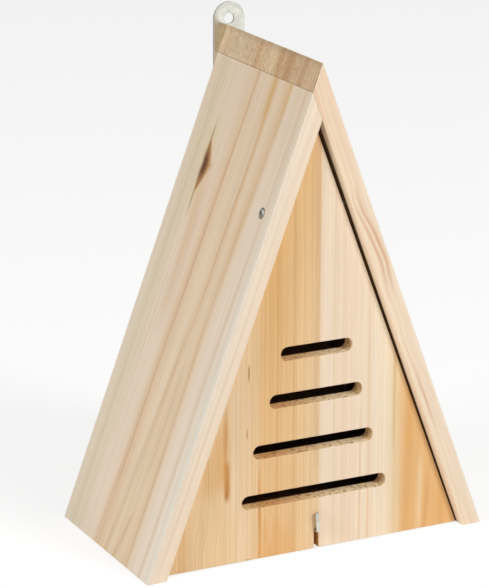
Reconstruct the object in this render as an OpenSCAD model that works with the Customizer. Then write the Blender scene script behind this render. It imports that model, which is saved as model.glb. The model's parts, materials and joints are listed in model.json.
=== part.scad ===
// Insect house with an A-frame of two roof boards, a slotted door that swings on two screws,
// a screw hook that keeps the door shut and a steel plate to hang it by.
// Millimetres. X runs to the right, Y to the rear and Z up. The origin is on the ground,
// under the ridge, halfway between the front and the rear edges of the roof boards.

/* [House] */
// Height of the ridge above the ground
house_h = 280; // [240:1:340]
// Width across the outer feet of the two roof boards
house_w = 211; // [170:1:260]
// Depth of the roof boards from front edge to rear edge
house_d = 115; // [95:1:180]
// Thickness of the roof boards
board_t = 11; // [9:0.5:14]
// Thickness of the back panel
back_t = 11; // [9:0.5:14]

/* [Floor] */
// Thickness of the floor panel
floor_t = 11; // [9:0.5:13]
// Height of the floor panel's underside above the ground
floor_z = 6.1; // [5.5:0.1:12]
// Space between the closed door and the floor panel's front edge
floor_gap = 0.8; // [0.4:0.1:2]

/* [Door] */
// Thickness of the door
door_t = 9; // [8.5:0.5:12]
// How far the door's face lies behind the roof boards' front edges
door_recess = 5.5; // [4.5:0.5:9]
// Level gap between each slanted edge of the door and its roof board, at the ground
door_gap = 1.3; // [1:0.1:3]
// The same gap at the height where the roof boards' inner faces meet
door_gap_top = 2.8; // [2.6:0.1:4]
// Height of the door's lower edge above the ground
door_lift = 1; // [0.5:0.1:3]
// Place of the glue line between the door's two staves, off the middle
glue_x = 2.5; // [-6:0.1:6]

/* [Slots] */
// Height of each routed slot, which is also the diameter of its round ends
slot_h = 8; // [6:0.5:12]
// Heights of the slots' middles above the ground, lowest first
slot_heights = [35, 63.5, 91.5, 118.2]; // [30:0.1:125]
// Lengths of the slots from end to end, lowest first
slot_lengths = [90.7, 75.2, 57.8, 44.5]; // [20:0.1:100]
// How far each slot's middle is off the house's middle, lowest first
slot_shifts = [0.1, -0.7, 0.7, 0.8]; // [-2:0.1:2]

/* [Pivot screws] */
// Distance of the pivot screws below the ridge
pivot_drop = 81.8; // [70:0.1:95]
// Depth of the pivot screws behind the door's face
pivot_depth = 5.5; // [4.5:0.1:5.9]
// Diameter of the screws' smooth shanks
screw_d = 3.2; // [2.5:0.1:4]
// Length of each screw under its head
screw_len = 21; // [18:0.5:26]
// Diameter of the screw heads
screw_head_d = 5.5; // [5:0.1:7]
// Height of the screw heads
screw_head_t = 2.2; // [2:0.1:3]
// How far the middle of a head's face stands out of the slanted roof face
head_proud = 0.6; // [0:0.1:0.7]
// Turn of the heads' cross recess from upright, in degrees
drive_turn = 45; // [0:5:85]
// Space between a head and the side of its pocket
head_gap = 0.3; // [0.3:0.1:0.6]
// Running clearance around a shank that turns in wood
turn_fit = 0.06; // [0.02:0.01:0.1]

/* [Latch] */
// Diameter of the hook's wire
wire_d = 2.4; // [2:0.1:3]
// Place of the hook and of the notch in the door, off the middle
hook_x = 1.4; // [-3:0.1:3]
// Length of the hook's arm, from the middle of its shank to its tip
hook_rise = 11.2; // [9:0.1:11.3]
// Length of thread in the floor panel
hook_thread = 16; // [10:0.5:25]
// Inside radius of the hook's bend
hook_bend = 0.6; // [0.4:0.1:1.5]
// Space between the door's face and the start of the bend
hook_gap = 0.4; // [0.3:0.1:1]
// How far the arm leans to the left when the hook is done up, in degrees
hook_lean = 4.4; // [0:0.1:10]
// Space around the wire in the door's notch
notch_gap = 0.3; // [0.2:0.05:0.6]

/* [Hanger] */
// Width of the hanger plate, whose ends are full rounds
plate_w = 19.2; // [16:0.1:24]
// Thickness of the hanger plate
plate_t = 1.5; // [1:0.1:3]
// Length of the hanger plate
plate_len = 88; // [80:1:110]
// Diameter of the hole that the house hangs by
hang_d = 6.3; // [4:0.1:9]
// Height of the hanging hole above the ridge
hang_rise = 3.1; // [1:0.1:10]
// Sideways place of the plate, off the ridge line
plate_x = 1.2; // [-2:0.1:2]
// Distance between the plate's two screws
plate_pitch = 19; // [12:0.5:22]
// Shank diameter of the plate's countersunk screws
plate_screw_d = 3; // [2.5:0.1:3.5]
// Head diameter of the plate's countersunk screws
plate_screw_head_d = 5.6; // [4.8:0.1:6.4]
// Full length of the plate's screws
plate_screw_len = 11; // [8:0.5:11.5]
// Space between a countersunk head and its seat in the plate
seat_gap = 0.05; // [0.02:0.01:0.1]

/* [Brads] */
// Diameter of the headless brads
brad_d = 1.2; // [1:0.1:1.6]
// Length of the brads that hold the panels
brad_len = 25; // [20:1:30]
// Length of the brads at the ridge
ridge_brad_len = 15; // [13:0.5:16]
// How deep the brads are set below the face of the wood
brad_set = 0.5; // [0.2:0.1:1]
// Distance of the outer ridge brads from the boards' front and rear edges
brad_margin = 16; // [12:1:25]
// Heights of the brads through the right board into the back panel
back_brad_heights = [30, 110, 190]; // [20:1:195]
// Places of the brads through the right board into the floor panel, from the middle
floor_brad_places = [-20, 26]; // [-30:1:35]
// Places of the brads through the back panel into the floor panel, off the middle
rear_brad_places = [-52, 0, 52]; // [-60:1:60]

/* [Hidden] */
$fn = 48;

// Sideways run of a roof face for each millimetre of height, and its lean from upright
slope = house_w / 2 / house_h;
lean = atan(slope);
// Thickness of a roof board, measured level
board_run = board_t / cos(lean);

// Height at which the two inner faces meet, and the upper end of the left board's outer face,
// where it butts against the right board
inner_top = house_h - board_run / slope;
joint_z = house_h - board_run / slope / 2;
joint_x = -board_run / 2;

// The door's own slope, a little more than the roof's, so that its gap widens upwards
door_slope = slope + (door_gap_top - door_gap) / inner_top;

front_y = -house_d / 2;
rear_y = house_d / 2;
back_front = rear_y - back_t;
door_front = front_y + door_recess;
door_back = door_front + door_t;
floor_front = door_back + floor_gap;

pivot_y = door_front + pivot_depth;
pivot_z = house_h - pivot_drop;
tip_len = 3;
// The head's underside stays this far off the pocket's floor, so that it can turn
head_lift = 0.1;
head_seat = outer(pivot_z) + head_proud - head_lift - screw_head_t;
pocket_d = screw_head_d + 2 * head_gap;
head_round = 0.7;
drive_w = 0.9;
drive_len = 3.4;
drive_depth = 1.2;

wire_r = wire_d / 2;
latch_z = floor_z + floor_t / 2;
bend_r = wire_r + hook_bend;
bend_y = door_front - hook_gap;
arm_y = bend_y - bend_r;
notch_r = wire_r + notch_gap;
tip_chamfer = 0.4;

hang_z = house_h + hang_rise;
plate_top = hang_z + plate_w / 2;
plate_low = plate_top - plate_len + plate_w / 2;
plate_rear = rear_y + plate_t;

// How far a cut runs past the face that it opens in
past = 2;

// Distance of a roof board's outer face from the middle of the house at a height
function outer(z) = (house_h - z) * slope;

// Distance of a roof board's inner face from the middle of the house at a height
function inner(z) = outer(z) - board_run;

// Distance of the door's slanted edge from the middle of the house at a height
function door_edge(z) = inner(0) - door_gap - z * door_slope;

// An outline drawn as seen from the front, from one depth to another
module slab(from_y, to_y) {
    translate([0, to_y, 0]) rotate([90, 0, 0]) linear_extrude(to_y - from_y) children();
}

// A round bar that points to the left, from its right end
module bar_left(d, len) {
    rotate([0, -90, 0]) cylinder(h = len, d = d);
}

// A pointed screw shank that starts at the origin and points up
module shank(d, len) {
    cylinder(h = len - tip_len, d = d);
    translate([0, 0, len - tip_len]) cylinder(h = tip_len, d1 = d, d2 = d / 6);
}

// The right pivot screw's place: its head's underside, with the screw along +Z
module at_pivot() {
    translate([head_seat + head_lift, pivot_y, pivot_z]) rotate([0, -90, 0]) children();
}

module pivot_shank() {
    at_pivot() shank(screw_d, screw_len);
}

// Pan head with a cross recess
module pan_head() {
    difference() {
        rotate_extrude() polygon([
            [0, 0], [screw_head_d / 2, 0], [screw_head_d / 2, screw_head_t - 2 * head_round],
            [screw_head_d / 2 - head_round, screw_head_t - head_round / 2],
            [screw_head_d / 2 - 2 * head_round, screw_head_t], [0, screw_head_t]
        ]);
        for (turn = [0, 90]) rotate([0, 0, drive_turn + turn])
            translate([-drive_len / 2, -drive_w / 2, screw_head_t - drive_depth])
                cube([drive_len, drive_w, past]);
    }
}

module pivot_screw() {
    pivot_shank();
    at_pivot() mirror([0, 0, 1]) pan_head();
}

// Pocket for the head and running bore for the shank in a right-hand board
module pivot_bore() {
    translate([outer(0), pivot_y, pivot_z]) {
        bar_left(pocket_d, outer(0) - head_seat);
        bar_left(screw_d + 2 * turn_fit, outer(0));
    }
}

// Places of the ridge brads. Each is driven square to the right board's outer face,
// through the middle of the left board's butted end.
module at_ridge_brads() {
    for (y = [front_y + brad_margin, 0, rear_y - brad_margin])
        translate([joint_x / 2, y, (inner_top + joint_z) / 2])
            rotate([0, -90 - lean, 0]) translate([0, 0, -board_t]) children();
}

// Places of the level brads in the right board's outer face
module at_side_brads() {
    for (z = back_brad_heights)
        translate([outer(z), rear_y - back_t / 2, z]) rotate([0, -90, 0]) children();
    for (y = floor_brad_places)
        translate([outer(latch_z), y, latch_z]) rotate([0, -90, 0]) children();
}

module at_rear_brads() {
    for (x = rear_brad_places)
        translate([x, rear_y, latch_z]) rotate([90, 0, 0]) children();
}

module brad(len) {
    translate([0, 0, brad_set]) cylinder(h = len, d = brad_d);
}

// The hole that a brad leaves, open at the face
module brad_hole(len) {
    translate([0, 0, -past]) cylinder(h = len + brad_set + past, d = brad_d);
}

module left_roof_board() {
    color("burlywood") difference() {
        slab(front_y, rear_y) polygon([
            [-outer(0), 0], [-inner(0), 0], [0, inner_top], [joint_x, joint_z]
        ]);
        mirror([1, 0, 0]) pivot_bore();
        at_ridge_brads() brad_hole(ridge_brad_len);
    }
}

module right_roof_board() {
    color("burlywood") difference() {
        slab(front_y, rear_y) polygon([
            [inner(0), 0], [outer(0), 0], [0, house_h], [joint_x, joint_z]
        ]);
        pivot_bore();
        at_ridge_brads() brad_hole(ridge_brad_len);
        at_side_brads() brad_hole(brad_len);
    }
}

module back_panel() {
    color("wheat") difference() {
        slab(back_front, rear_y) polygon([[-inner(0), 0], [inner(0), 0], [0, inner_top]]);
        at_side_brads() brad_hole(brad_len);
        at_rear_brads() brad_hole(brad_len);
        at_hanger_screws() shank(plate_screw_d, plate_screw_len);
    }
}

module floor_panel() {
    top = floor_z + floor_t;
    color("wheat") difference() {
        slab(floor_front, back_front) polygon([
            [-inner(floor_z), floor_z], [inner(floor_z), floor_z],
            [inner(top), top], [-inner(top), top]
        ]);
        at_side_brads() brad_hole(brad_len);
        at_rear_brads() brad_hole(brad_len);
        translate([hook_x, floor_front + hook_thread + past / 2, latch_z])
            rotate([90, 0, 0]) cylinder(h = hook_thread + past, d = wire_d + 2 * turn_fit);
    }
}

// Outline of one routed slot
module slot_outline(i) {
    run = slot_lengths[i] / 2 - slot_h / 2;
    translate([slot_shifts[i], slot_heights[i]]) {
        square([2 * run, slot_h], center = true);
        for (side = [-1, 1]) translate([side * run, 0]) circle(d = slot_h);
    }
}

// Outline of the whole door, with its slots and the notch for the hook
module door_outline() {
    tip = door_edge(0) / door_slope;
    difference() {
        polygon([
            [-door_edge(door_lift), door_lift], [door_edge(door_lift), door_lift], [0, tip]
        ]);
        for (i = [0 : len(slot_heights) - 1]) slot_outline(i);
        translate([hook_x, latch_z]) circle(r = notch_r);
        translate([hook_x - notch_r, 0]) square([2 * notch_r, latch_z]);
    }
}

// The part of the door on one side of the glue line: side is -1 for left and 1 for right
module door_stave(side) {
    difference() {
        slab(door_front, door_back) intersection() {
            door_outline();
            translate([glue_x + (side - 1) / 2 * house_w, 0]) square([house_w, house_h]);
        }
        pivot_shank();
        mirror([1, 0, 0]) pivot_shank();
    }
}

module door_left_stave() {
    color("sandybrown") door_stave(-1);
}

module door_right_stave() {
    color("bisque") door_stave(1);
}

module left_pivot_screw() {
    color("gray") mirror([1, 0, 0]) pivot_screw();
}

module right_pivot_screw() {
    color("gray") pivot_screw();
}

module latch_hook() {
    color("silver") translate([hook_x, 0, latch_z]) rotate([0, -hook_lean, 0]) {
        translate([0, bend_y, 0]) rotate([-90, 0, 0])
            shank(wire_d, floor_front + hook_thread - bend_y);
        translate([0, bend_y, bend_r]) rotate([0, 90, 180])
            rotate_extrude(angle = 90) translate([bend_r, 0]) circle(d = wire_d);
        translate([0, arm_y, bend_r]) cylinder(h = hook_rise - bend_r - tip_chamfer, d = wire_d);
        translate([0, arm_y, hook_rise - tip_chamfer])
            cylinder(h = tip_chamfer, d1 = wire_d, d2 = wire_d - 2 * tip_chamfer);
    }
}

// Places of the plate's two screws: the plate's rear face, with the screw along +Z
module at_hanger_screws() {
    for (z = [plate_low, plate_low + plate_pitch])
        translate([plate_x, plate_rear, z]) rotate([90, 0, 0]) children();
}

module hanger_plate() {
    color("silver") difference() {
        slab(rear_y, plate_rear) translate([plate_x, 0]) difference() {
            union() {
                for (z = [plate_low, hang_z]) translate([0, z]) circle(d = plate_w);
                translate([-plate_w / 2, plate_low]) square([plate_w, hang_z - plate_low]);
            }
            translate([0, hang_z]) circle(d = hang_d);
        }
        at_hanger_screws() {
            translate([0, 0, -past]) cylinder(h = plate_t + 2 * past, d = plate_screw_d + 2 * seat_gap);
            cylinder(
                h = plate_t,
                d1 = plate_screw_head_d + 2 * seat_gap,
                d2 = plate_screw_d + 2 * seat_gap
            );
        }
    }
}

module hanger_screws() {
    color("gray") at_hanger_screws() {
        shank(plate_screw_d, plate_screw_len);
        difference() {
            cylinder(h = plate_t, d1 = plate_screw_head_d, d2 = plate_screw_d);
            for (turn = [0, 90]) rotate([0, 0, turn])
                translate([-drive_len / 2, -drive_w / 2, -past])
                    cube([drive_len, drive_w, past + drive_depth]);
        }
    }
}

module ridge_brads() {
    color("dimgray") at_ridge_brads() brad(ridge_brad_len);
}

module side_brads() {
    color("dimgray") at_side_brads() brad(brad_len);
}

module rear_brads() {
    color("dimgray") at_rear_brads() brad(brad_len);
}

left_roof_board();
right_roof_board();
back_panel();
floor_panel();
door_left_stave();
door_right_stave();
left_pivot_screw();
right_pivot_screw();
latch_hook();
hanger_plate();
hanger_screws();
ridge_brads();
side_brads();
rear_brads();
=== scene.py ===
"""The looks of an A-frame ladybug house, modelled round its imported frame.

Lengths are in metres unless a name or a comment says millimetres. X runs to the right as
seen from the front, Y to the rear and Z up. The origin is on the ground under the ridge.
"""

import json
import logging
import math
from collections.abc import Callable, Iterator, Sequence
from contextlib import contextmanager
from dataclasses import dataclass, field
from enum import Enum
from typing import Any

import bmesh
import bpy
from mathutils import Matrix, Vector


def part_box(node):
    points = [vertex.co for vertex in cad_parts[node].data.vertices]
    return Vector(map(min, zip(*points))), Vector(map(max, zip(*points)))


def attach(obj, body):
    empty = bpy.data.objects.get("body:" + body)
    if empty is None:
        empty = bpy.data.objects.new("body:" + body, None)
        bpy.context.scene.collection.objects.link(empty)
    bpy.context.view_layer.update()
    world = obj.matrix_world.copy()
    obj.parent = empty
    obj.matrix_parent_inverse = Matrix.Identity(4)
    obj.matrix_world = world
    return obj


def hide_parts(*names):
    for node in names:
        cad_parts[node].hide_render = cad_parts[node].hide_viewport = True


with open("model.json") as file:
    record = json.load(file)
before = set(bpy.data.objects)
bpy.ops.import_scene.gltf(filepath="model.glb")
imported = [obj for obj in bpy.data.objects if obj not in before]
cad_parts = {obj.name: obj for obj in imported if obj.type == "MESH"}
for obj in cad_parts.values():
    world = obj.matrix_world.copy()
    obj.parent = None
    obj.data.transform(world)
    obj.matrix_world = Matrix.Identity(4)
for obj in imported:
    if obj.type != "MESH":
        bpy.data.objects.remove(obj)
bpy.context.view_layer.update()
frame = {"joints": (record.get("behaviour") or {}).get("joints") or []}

MM = 0.001
QUARTER = math.pi / 2
TINY = 1e-5
ARRIS = 0.3 * MM
RIGHT, REAR, UP = Vector((1.0, 0.0, 0.0)), Vector((0.0, 1.0, 0.0)), Vector((0.0, 0.0, 1.0))
SENSOR_WIDTH = 36.0  # Millimetres.
PALE_FIBRE = "F2E0C0"
THREAD_RUN_OUT = 0.4  # Turns left plain where a thread meets its shank.

log = logging.getLogger("house")

Stop = tuple[float, str]
FaceTest = Callable[[Vector, Vector], bool]
EdgeTest = Callable[[Vector], bool]


def paint(tint: str, alpha: float = 1.0) -> tuple[float, float, float, float]:
    """Turns a written colour into the linear one that a shader takes.

    Args:
        tint: The colour as six hexadecimal digits.
        alpha: Its opacity.

    Returns:
        Red, green, blue and opacity.
    """
    parts = [int(tint[i:i + 2], 16) / 255 for i in (0, 2, 4)]
    knee, foot = 0.04045, 12.92
    linear = [c / foot if c <= knee else ((c + 0.055) / 1.055) ** 2.4 for c in parts]
    return (*linear, alpha)


class Value:
    """A number, colour or vector worked out by a shader. Arithmetic on it adds Math nodes."""

    def __init__(self, sheet: "Sheet", socket: bpy.types.NodeSocket) -> None:
        """Keeps the socket and the sheet that it is on."""
        self.sheet = sheet
        self.socket = socket

    def __add__(self, other: "Value | float") -> "Value":
        """Self plus other."""
        return self.sheet.math("ADD", self, other)

    def __radd__(self, other: float) -> "Value":
        """Other plus self."""
        return self.sheet.math("ADD", other, self)

    def __sub__(self, other: "Value | float") -> "Value":
        """Self less other."""
        return self.sheet.math("SUBTRACT", self, other)

    def __rsub__(self, other: float) -> "Value":
        """Other less self."""
        return self.sheet.math("SUBTRACT", other, self)

    def __mul__(self, other: "Value | float") -> "Value":
        """Self times other."""
        return self.sheet.math("MULTIPLY", self, other)

    def __rmul__(self, other: float) -> "Value":
        """Other times self."""
        return self.sheet.math("MULTIPLY", other, self)

    def __truediv__(self, other: "Value | float") -> "Value":
        """Self over other."""
        return self.sheet.math("DIVIDE", self, other)

    def __pow__(self, other: "Value | float") -> "Value":
        """Self to the power of other."""
        return self.sheet.math("POWER", self, other)

    def clamped(self) -> "Value":
        """Self, kept from 0 to 1."""
        return self.sheet.math("ADD", self, 0.0, clamp=True)


class Sheet:
    """A node tree on which a finish is drawn."""

    def __init__(self, tree: bpy.types.NodeTree) -> None:
        """Clears the node tree of a material or of the world."""
        self.tree = tree
        tree.nodes.clear()

    def node(
        self, kind: str, settings: dict[str, Any] | None = None, inputs: dict[Any, Any] | None = None
    ) -> bpy.types.Node:
        """Adds a node.

        Args:
            kind: The node's type.
            settings: Its settings, set first. Stops are those of a colour ramp.
            inputs: What goes into its sockets, by name or number.

        Returns:
            The node.
        """
        made = self.tree.nodes.new(kind)
        for key, setting in (settings or {}).items():
            if key == "stops":
                self._fill_ramp(made.color_ramp, setting)
            else:
                setattr(made, key, setting)
        for key, term in (inputs or {}).items():
            if isinstance(term, Value):
                self.tree.links.new(term.socket, made.inputs[key])
            else:
                made.inputs[key].default_value = term
        return made

    def term(
        self, kind: str, settings: dict[str, Any] | None = None, inputs: dict[Any, Any] | None = None
    ) -> Value:
        """Adds a node as node() does, and gives its first output."""
        return Value(self, self.node(kind, settings, inputs).outputs[0])

    @staticmethod
    def _fill_ramp(ramp: bpy.types.ColorRamp, stops: Sequence[tuple[float, Any]]) -> None:
        """Gives a new node's ramp its stops.

        Args:
            ramp: The ramp.
            stops: Place from 0 to 1 and colour of each stop.
        """
        ramp.elements.remove(ramp.elements[-1])
        ramp.elements[0].position, ramp.elements[0].color = stops[0]
        for place, colour in stops[1:]:
            ramp.elements.new(place).color = colour

    def math(self, operation: str, *terms: "Value | float", clamp: bool = False) -> Value:
        """The result of a Math node, kept from 0 to 1 if clamp is set."""
        settings = {"operation": operation, "use_clamp": clamp}
        return self.term("ShaderNodeMath", settings, dict(enumerate(terms)))

    def mix(self, share: "Value | float", first: Any, second: Any) -> Value:
        """A mix of two colours. The share is that of the second, from 0 to 1."""
        inputs = {0: share, 6: first, 7: second}
        return Value(self, self.node("ShaderNodeMix", {"data_type": "RGBA"}, inputs).outputs[2])

    def brighten(self, colour: Value, by: Value) -> Value:
        """A colour, each of whose parts is multiplied by a number."""
        inputs = {0: colour, "Scale": by}
        return self.term("ShaderNodeVectorMath", {"operation": "SCALE"}, inputs)

    def point(self, x: Any, y: Any, z: Any) -> Value:
        """Puts three numbers together as a place."""
        return self.term("ShaderNodeCombineXYZ", None, {0: x, 1: y, 2: z})

    def noise(self, place: Value, detail: float = 1.0, rough: float = 0.5) -> Value:
        """Noise in three directions, from 0 to 1, with lumps one unit across and finer layers."""
        inputs = {"Vector": place, "Scale": 1.0, "Detail": detail, "Roughness": rough}
        return self.term("ShaderNodeTexNoise", None, inputs)

    def lines(self, place: Value, detail: float = 1.0, rough: float = 0.5) -> Value:
        """Noise that changes along one number only.

        Args:
            place: The number.
            detail: How many finer layers it has.
            rough: How strong the finer layers are.

        Returns:
            A number from 0 to 1.
        """
        settings = {"noise_dimensions": "1D"}
        inputs = {"W": place, "Scale": 1.0, "Detail": detail, "Roughness": rough}
        return self.term("ShaderNodeTexNoise", settings, inputs)

    def step(self, value: Value, low: float, high: float) -> Value:
        """A soft step.

        Args:
            value: What is compared.
            low: Where the step starts.
            high: Where it ends. It may be below low, and the step then goes down.

        Returns:
            A number from 0 to 1.
        """
        settings = {"interpolation_type": "SMOOTHSTEP"}
        if high < low:
            return 1.0 - self.step(value, high, low)
        inputs = {"Value": value, "From Min": low, "From Max": high}
        return self.term("ShaderNodeMapRange", settings, inputs)

    def ramp(self, stops: Sequence[Stop], where: Value) -> Value:
        """Colours that change with a number.

        Args:
            stops: The number and the colour at each stop, in order.
            where: The number.

        Returns:
            The colour.
        """
        low, high = stops[0][0], stops[-1][0]
        places = [((at - low) / (high - low), paint(tint)) for at, tint in stops]
        inputs = {0: (where - low) / (high - low)}
        return self.term("ShaderNodeValToRGB", {"stops": places}, inputs)

    def ridge(self, offset: Value, width: float) -> Value:
        """A soft ridge that is 1 where the offset is 0 and fades out over its width."""
        return self.step(self.math("ABSOLUTE", offset), width, 0.0)

    def surface(self, looks: dict[str, Any], height: Value | None = None, depth: float = 0.0) -> None:
        """Ends the sheet in a plain shader.

        Args:
            looks: What goes into the shader's sockets.
            height: The relief, from 0 to 1.
            depth: How deep the relief is.
        """
        if height is not None:
            inputs = {"Height": height, "Distance": depth, "Strength": 1.0}
            looks["Normal"] = self.term("ShaderNodeBump", None, inputs)
        shader = self.node("ShaderNodeBsdfPrincipled", None, looks)
        self.node("ShaderNodeOutputMaterial", None, {"Surface": Value(self, shader.outputs[0])})


class Finish:
    """Something that pieces are dressed in."""

    name: str

    def draw(self, sheet: Sheet) -> None:
        """Draws the finish on an empty sheet."""
        raise NotImplementedError

    def material(self) -> bpy.types.Material:
        """The finish as a material, made the first time that it is asked for.

        Returns:
            The material.
        """
        made = bpy.data.materials.get(self.name)
        if made is None:
            made = bpy.data.materials.new(self.name)
            made.use_nodes = True
            self.draw(Sheet(made.node_tree))
        return made


@dataclass(frozen=True)
class Lie:
    """How a board's grain lies in the house.

    Attributes:
        origin: The point from which widths, depths and lengths are taken.
        across: The direction of the board's width.
        along: The direction of its grain.
    """

    origin: Vector
    across: Vector
    along: Vector

    def place(self, sheet: Sheet) -> tuple[Value, Value, Value]:
        """A point's place on the board.

        Args:
            sheet: The sheet that reads it.

        Returns:
            Millimetres across the board, through it and along its grain.
        """
        through = self.along.cross(self.across)
        turn = Matrix((self.across, through, self.along)).transposed()
        object_place = Value(sheet, sheet.node("ShaderNodeTexCoord").outputs["Object"])
        inputs = {
            "Vector": object_place,
            "Location": self.origin,
            "Rotation": turn.to_euler(),
            "Scale": (MM, MM, MM),
        }
        mapped = sheet.node("ShaderNodeMapping", {"vector_type": "TEXTURE"}, inputs)
        parts = sheet.node("ShaderNodeSeparateXYZ", None, {0: Value(sheet, mapped.outputs[0])})
        return tuple(Value(sheet, out) for out in parts.outputs)


@dataclass(frozen=True)
class Streak:
    """One dark streak along a board, in millimetres.

    Attributes:
        foot: Its place across the board at the board's foot.
        width: Half its width.
        depth: How strong it is.
        tint: Its colour, where it isn't that of the board's late wood or pits.
        top: Its place across the board at the board's top, where it slants.
        start: Where along the board it starts to show.
        stop: Where it has gone.
        fade: Length over which it starts and goes.
    """

    foot: float
    width: float
    depth: float
    tint: str | None = None
    top: float | None = None
    start: float = -50.0
    stop: float = 400.0
    fade: float = 30.0

    def middle(self, rise: Value) -> Value | float:
        """Its place across the board, at a share of the board's length."""
        return self.foot if self.top is None else self.foot + rise * (self.top - self.foot)

    def along(self, sheet: Sheet, mark: Value, along: Value) -> Value:
        """A mark, kept to the part of the board's length where the streak shows."""
        mark = mark * sheet.step(along, self.start, self.start + self.fade)
        return mark * sheet.step(along, self.stop, self.stop - self.fade)


@dataclass(frozen=True)
class Swirl:
    """A place where the grain bends sideways, as it does beside a knot inside the wood.

    Attributes:
        across: Its place across the board, in millimetres.
        along: Its place along the board.
        width: Its half width.
        length: Its half length.
        push: How far it pushes the grain sideways.
    """

    across: float
    along: float
    width: float
    length: float
    push: float

    def shift(self, sheet: Sheet, across: Value, along: Value) -> Value:
        """How far the grain is pushed at a place.

        Args:
            sheet: The board's sheet.
            across: Place across the board.
            along: Place along the board.

        Returns:
            The push in millimetres.
        """
        side = (across - self.across) / self.width
        rise = (along - self.along) / self.length
        return sheet.step(side * side + rise * rise, 1.0, 0.0) * self.push


@dataclass(frozen=True)
class Knot:
    """A spike knot: straight and dark along one side, with a soft brown bulge on the other.

    Attributes:
        across: Place of its straight side across the board, in millimetres.
        along: Place of its widest point along the board.
        up: How far it tapers up the board.
        down: How far it tapers down the board.
        bulge: Its width.
    """

    across: float
    along: float
    up: float
    down: float
    bulge: float

    def draw(self, sheet: Sheet, colour: Value, across: Value, along: Value) -> Value:
        """Lays the knot over a colour.

        Args:
            sheet: The board's sheet.
            colour: The board's colour.
            across: Place across the board.
            along: Place along the board.

        Returns:
            The colour with the knot.
        """
        rise = along - self.along
        grain = sheet.noise(sheet.point(across * 0.5, along * 0.1, 0.0), 3.0, 0.6)
        taper = (1.0 - rise / self.up).clamped() * (1.0 + rise / self.down).clamped()
        inside = self.across - across + (grain - 0.5) * 1.2
        share = inside / (taper * self.bulge + 0.3)
        body = sheet.step(inside, -0.9, 0.7) * sheet.step(share, 1.25, 0.7)
        body = body * sheet.step(taper, 0.0, 0.3)
        core = sheet.ridge(inside - taper * 2.6, 5.4) * sheet.step(taper, 0.3, 0.9)
        rays = sheet.step(sheet.lines(share * 3.0 + rise * 0.04, 2.0), 0.42, 0.62) * body
        tail = sheet.ridge(inside - 0.4, 1.6) * sheet.step(taper, 0.85, 0.2)
        level = sheet.math("ABSOLUTE", rise + 2.0)
        tail = tail * sheet.step(level, self.down * 1.7, self.down * 0.9)
        halo = sheet.ridge(inside - 1.0, self.bulge * 1.1)
        halo = halo * sheet.step(level, self.down * 1.9, self.down * 0.5)
        brown = sheet.mix(sheet.step(share, 0.2, 1.0), paint("A26A30"), paint("C49058"))
        colour = sheet.mix(halo * 0.55, colour, paint("DCC79A"))
        colour = sheet.mix(body * 0.9, colour, brown)
        colour = sheet.mix((rays * 0.35 + tail * 0.6).clamped(), colour, paint("8A6236"))
        return sheet.mix(core, colour, paint("5A300C"))


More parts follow.
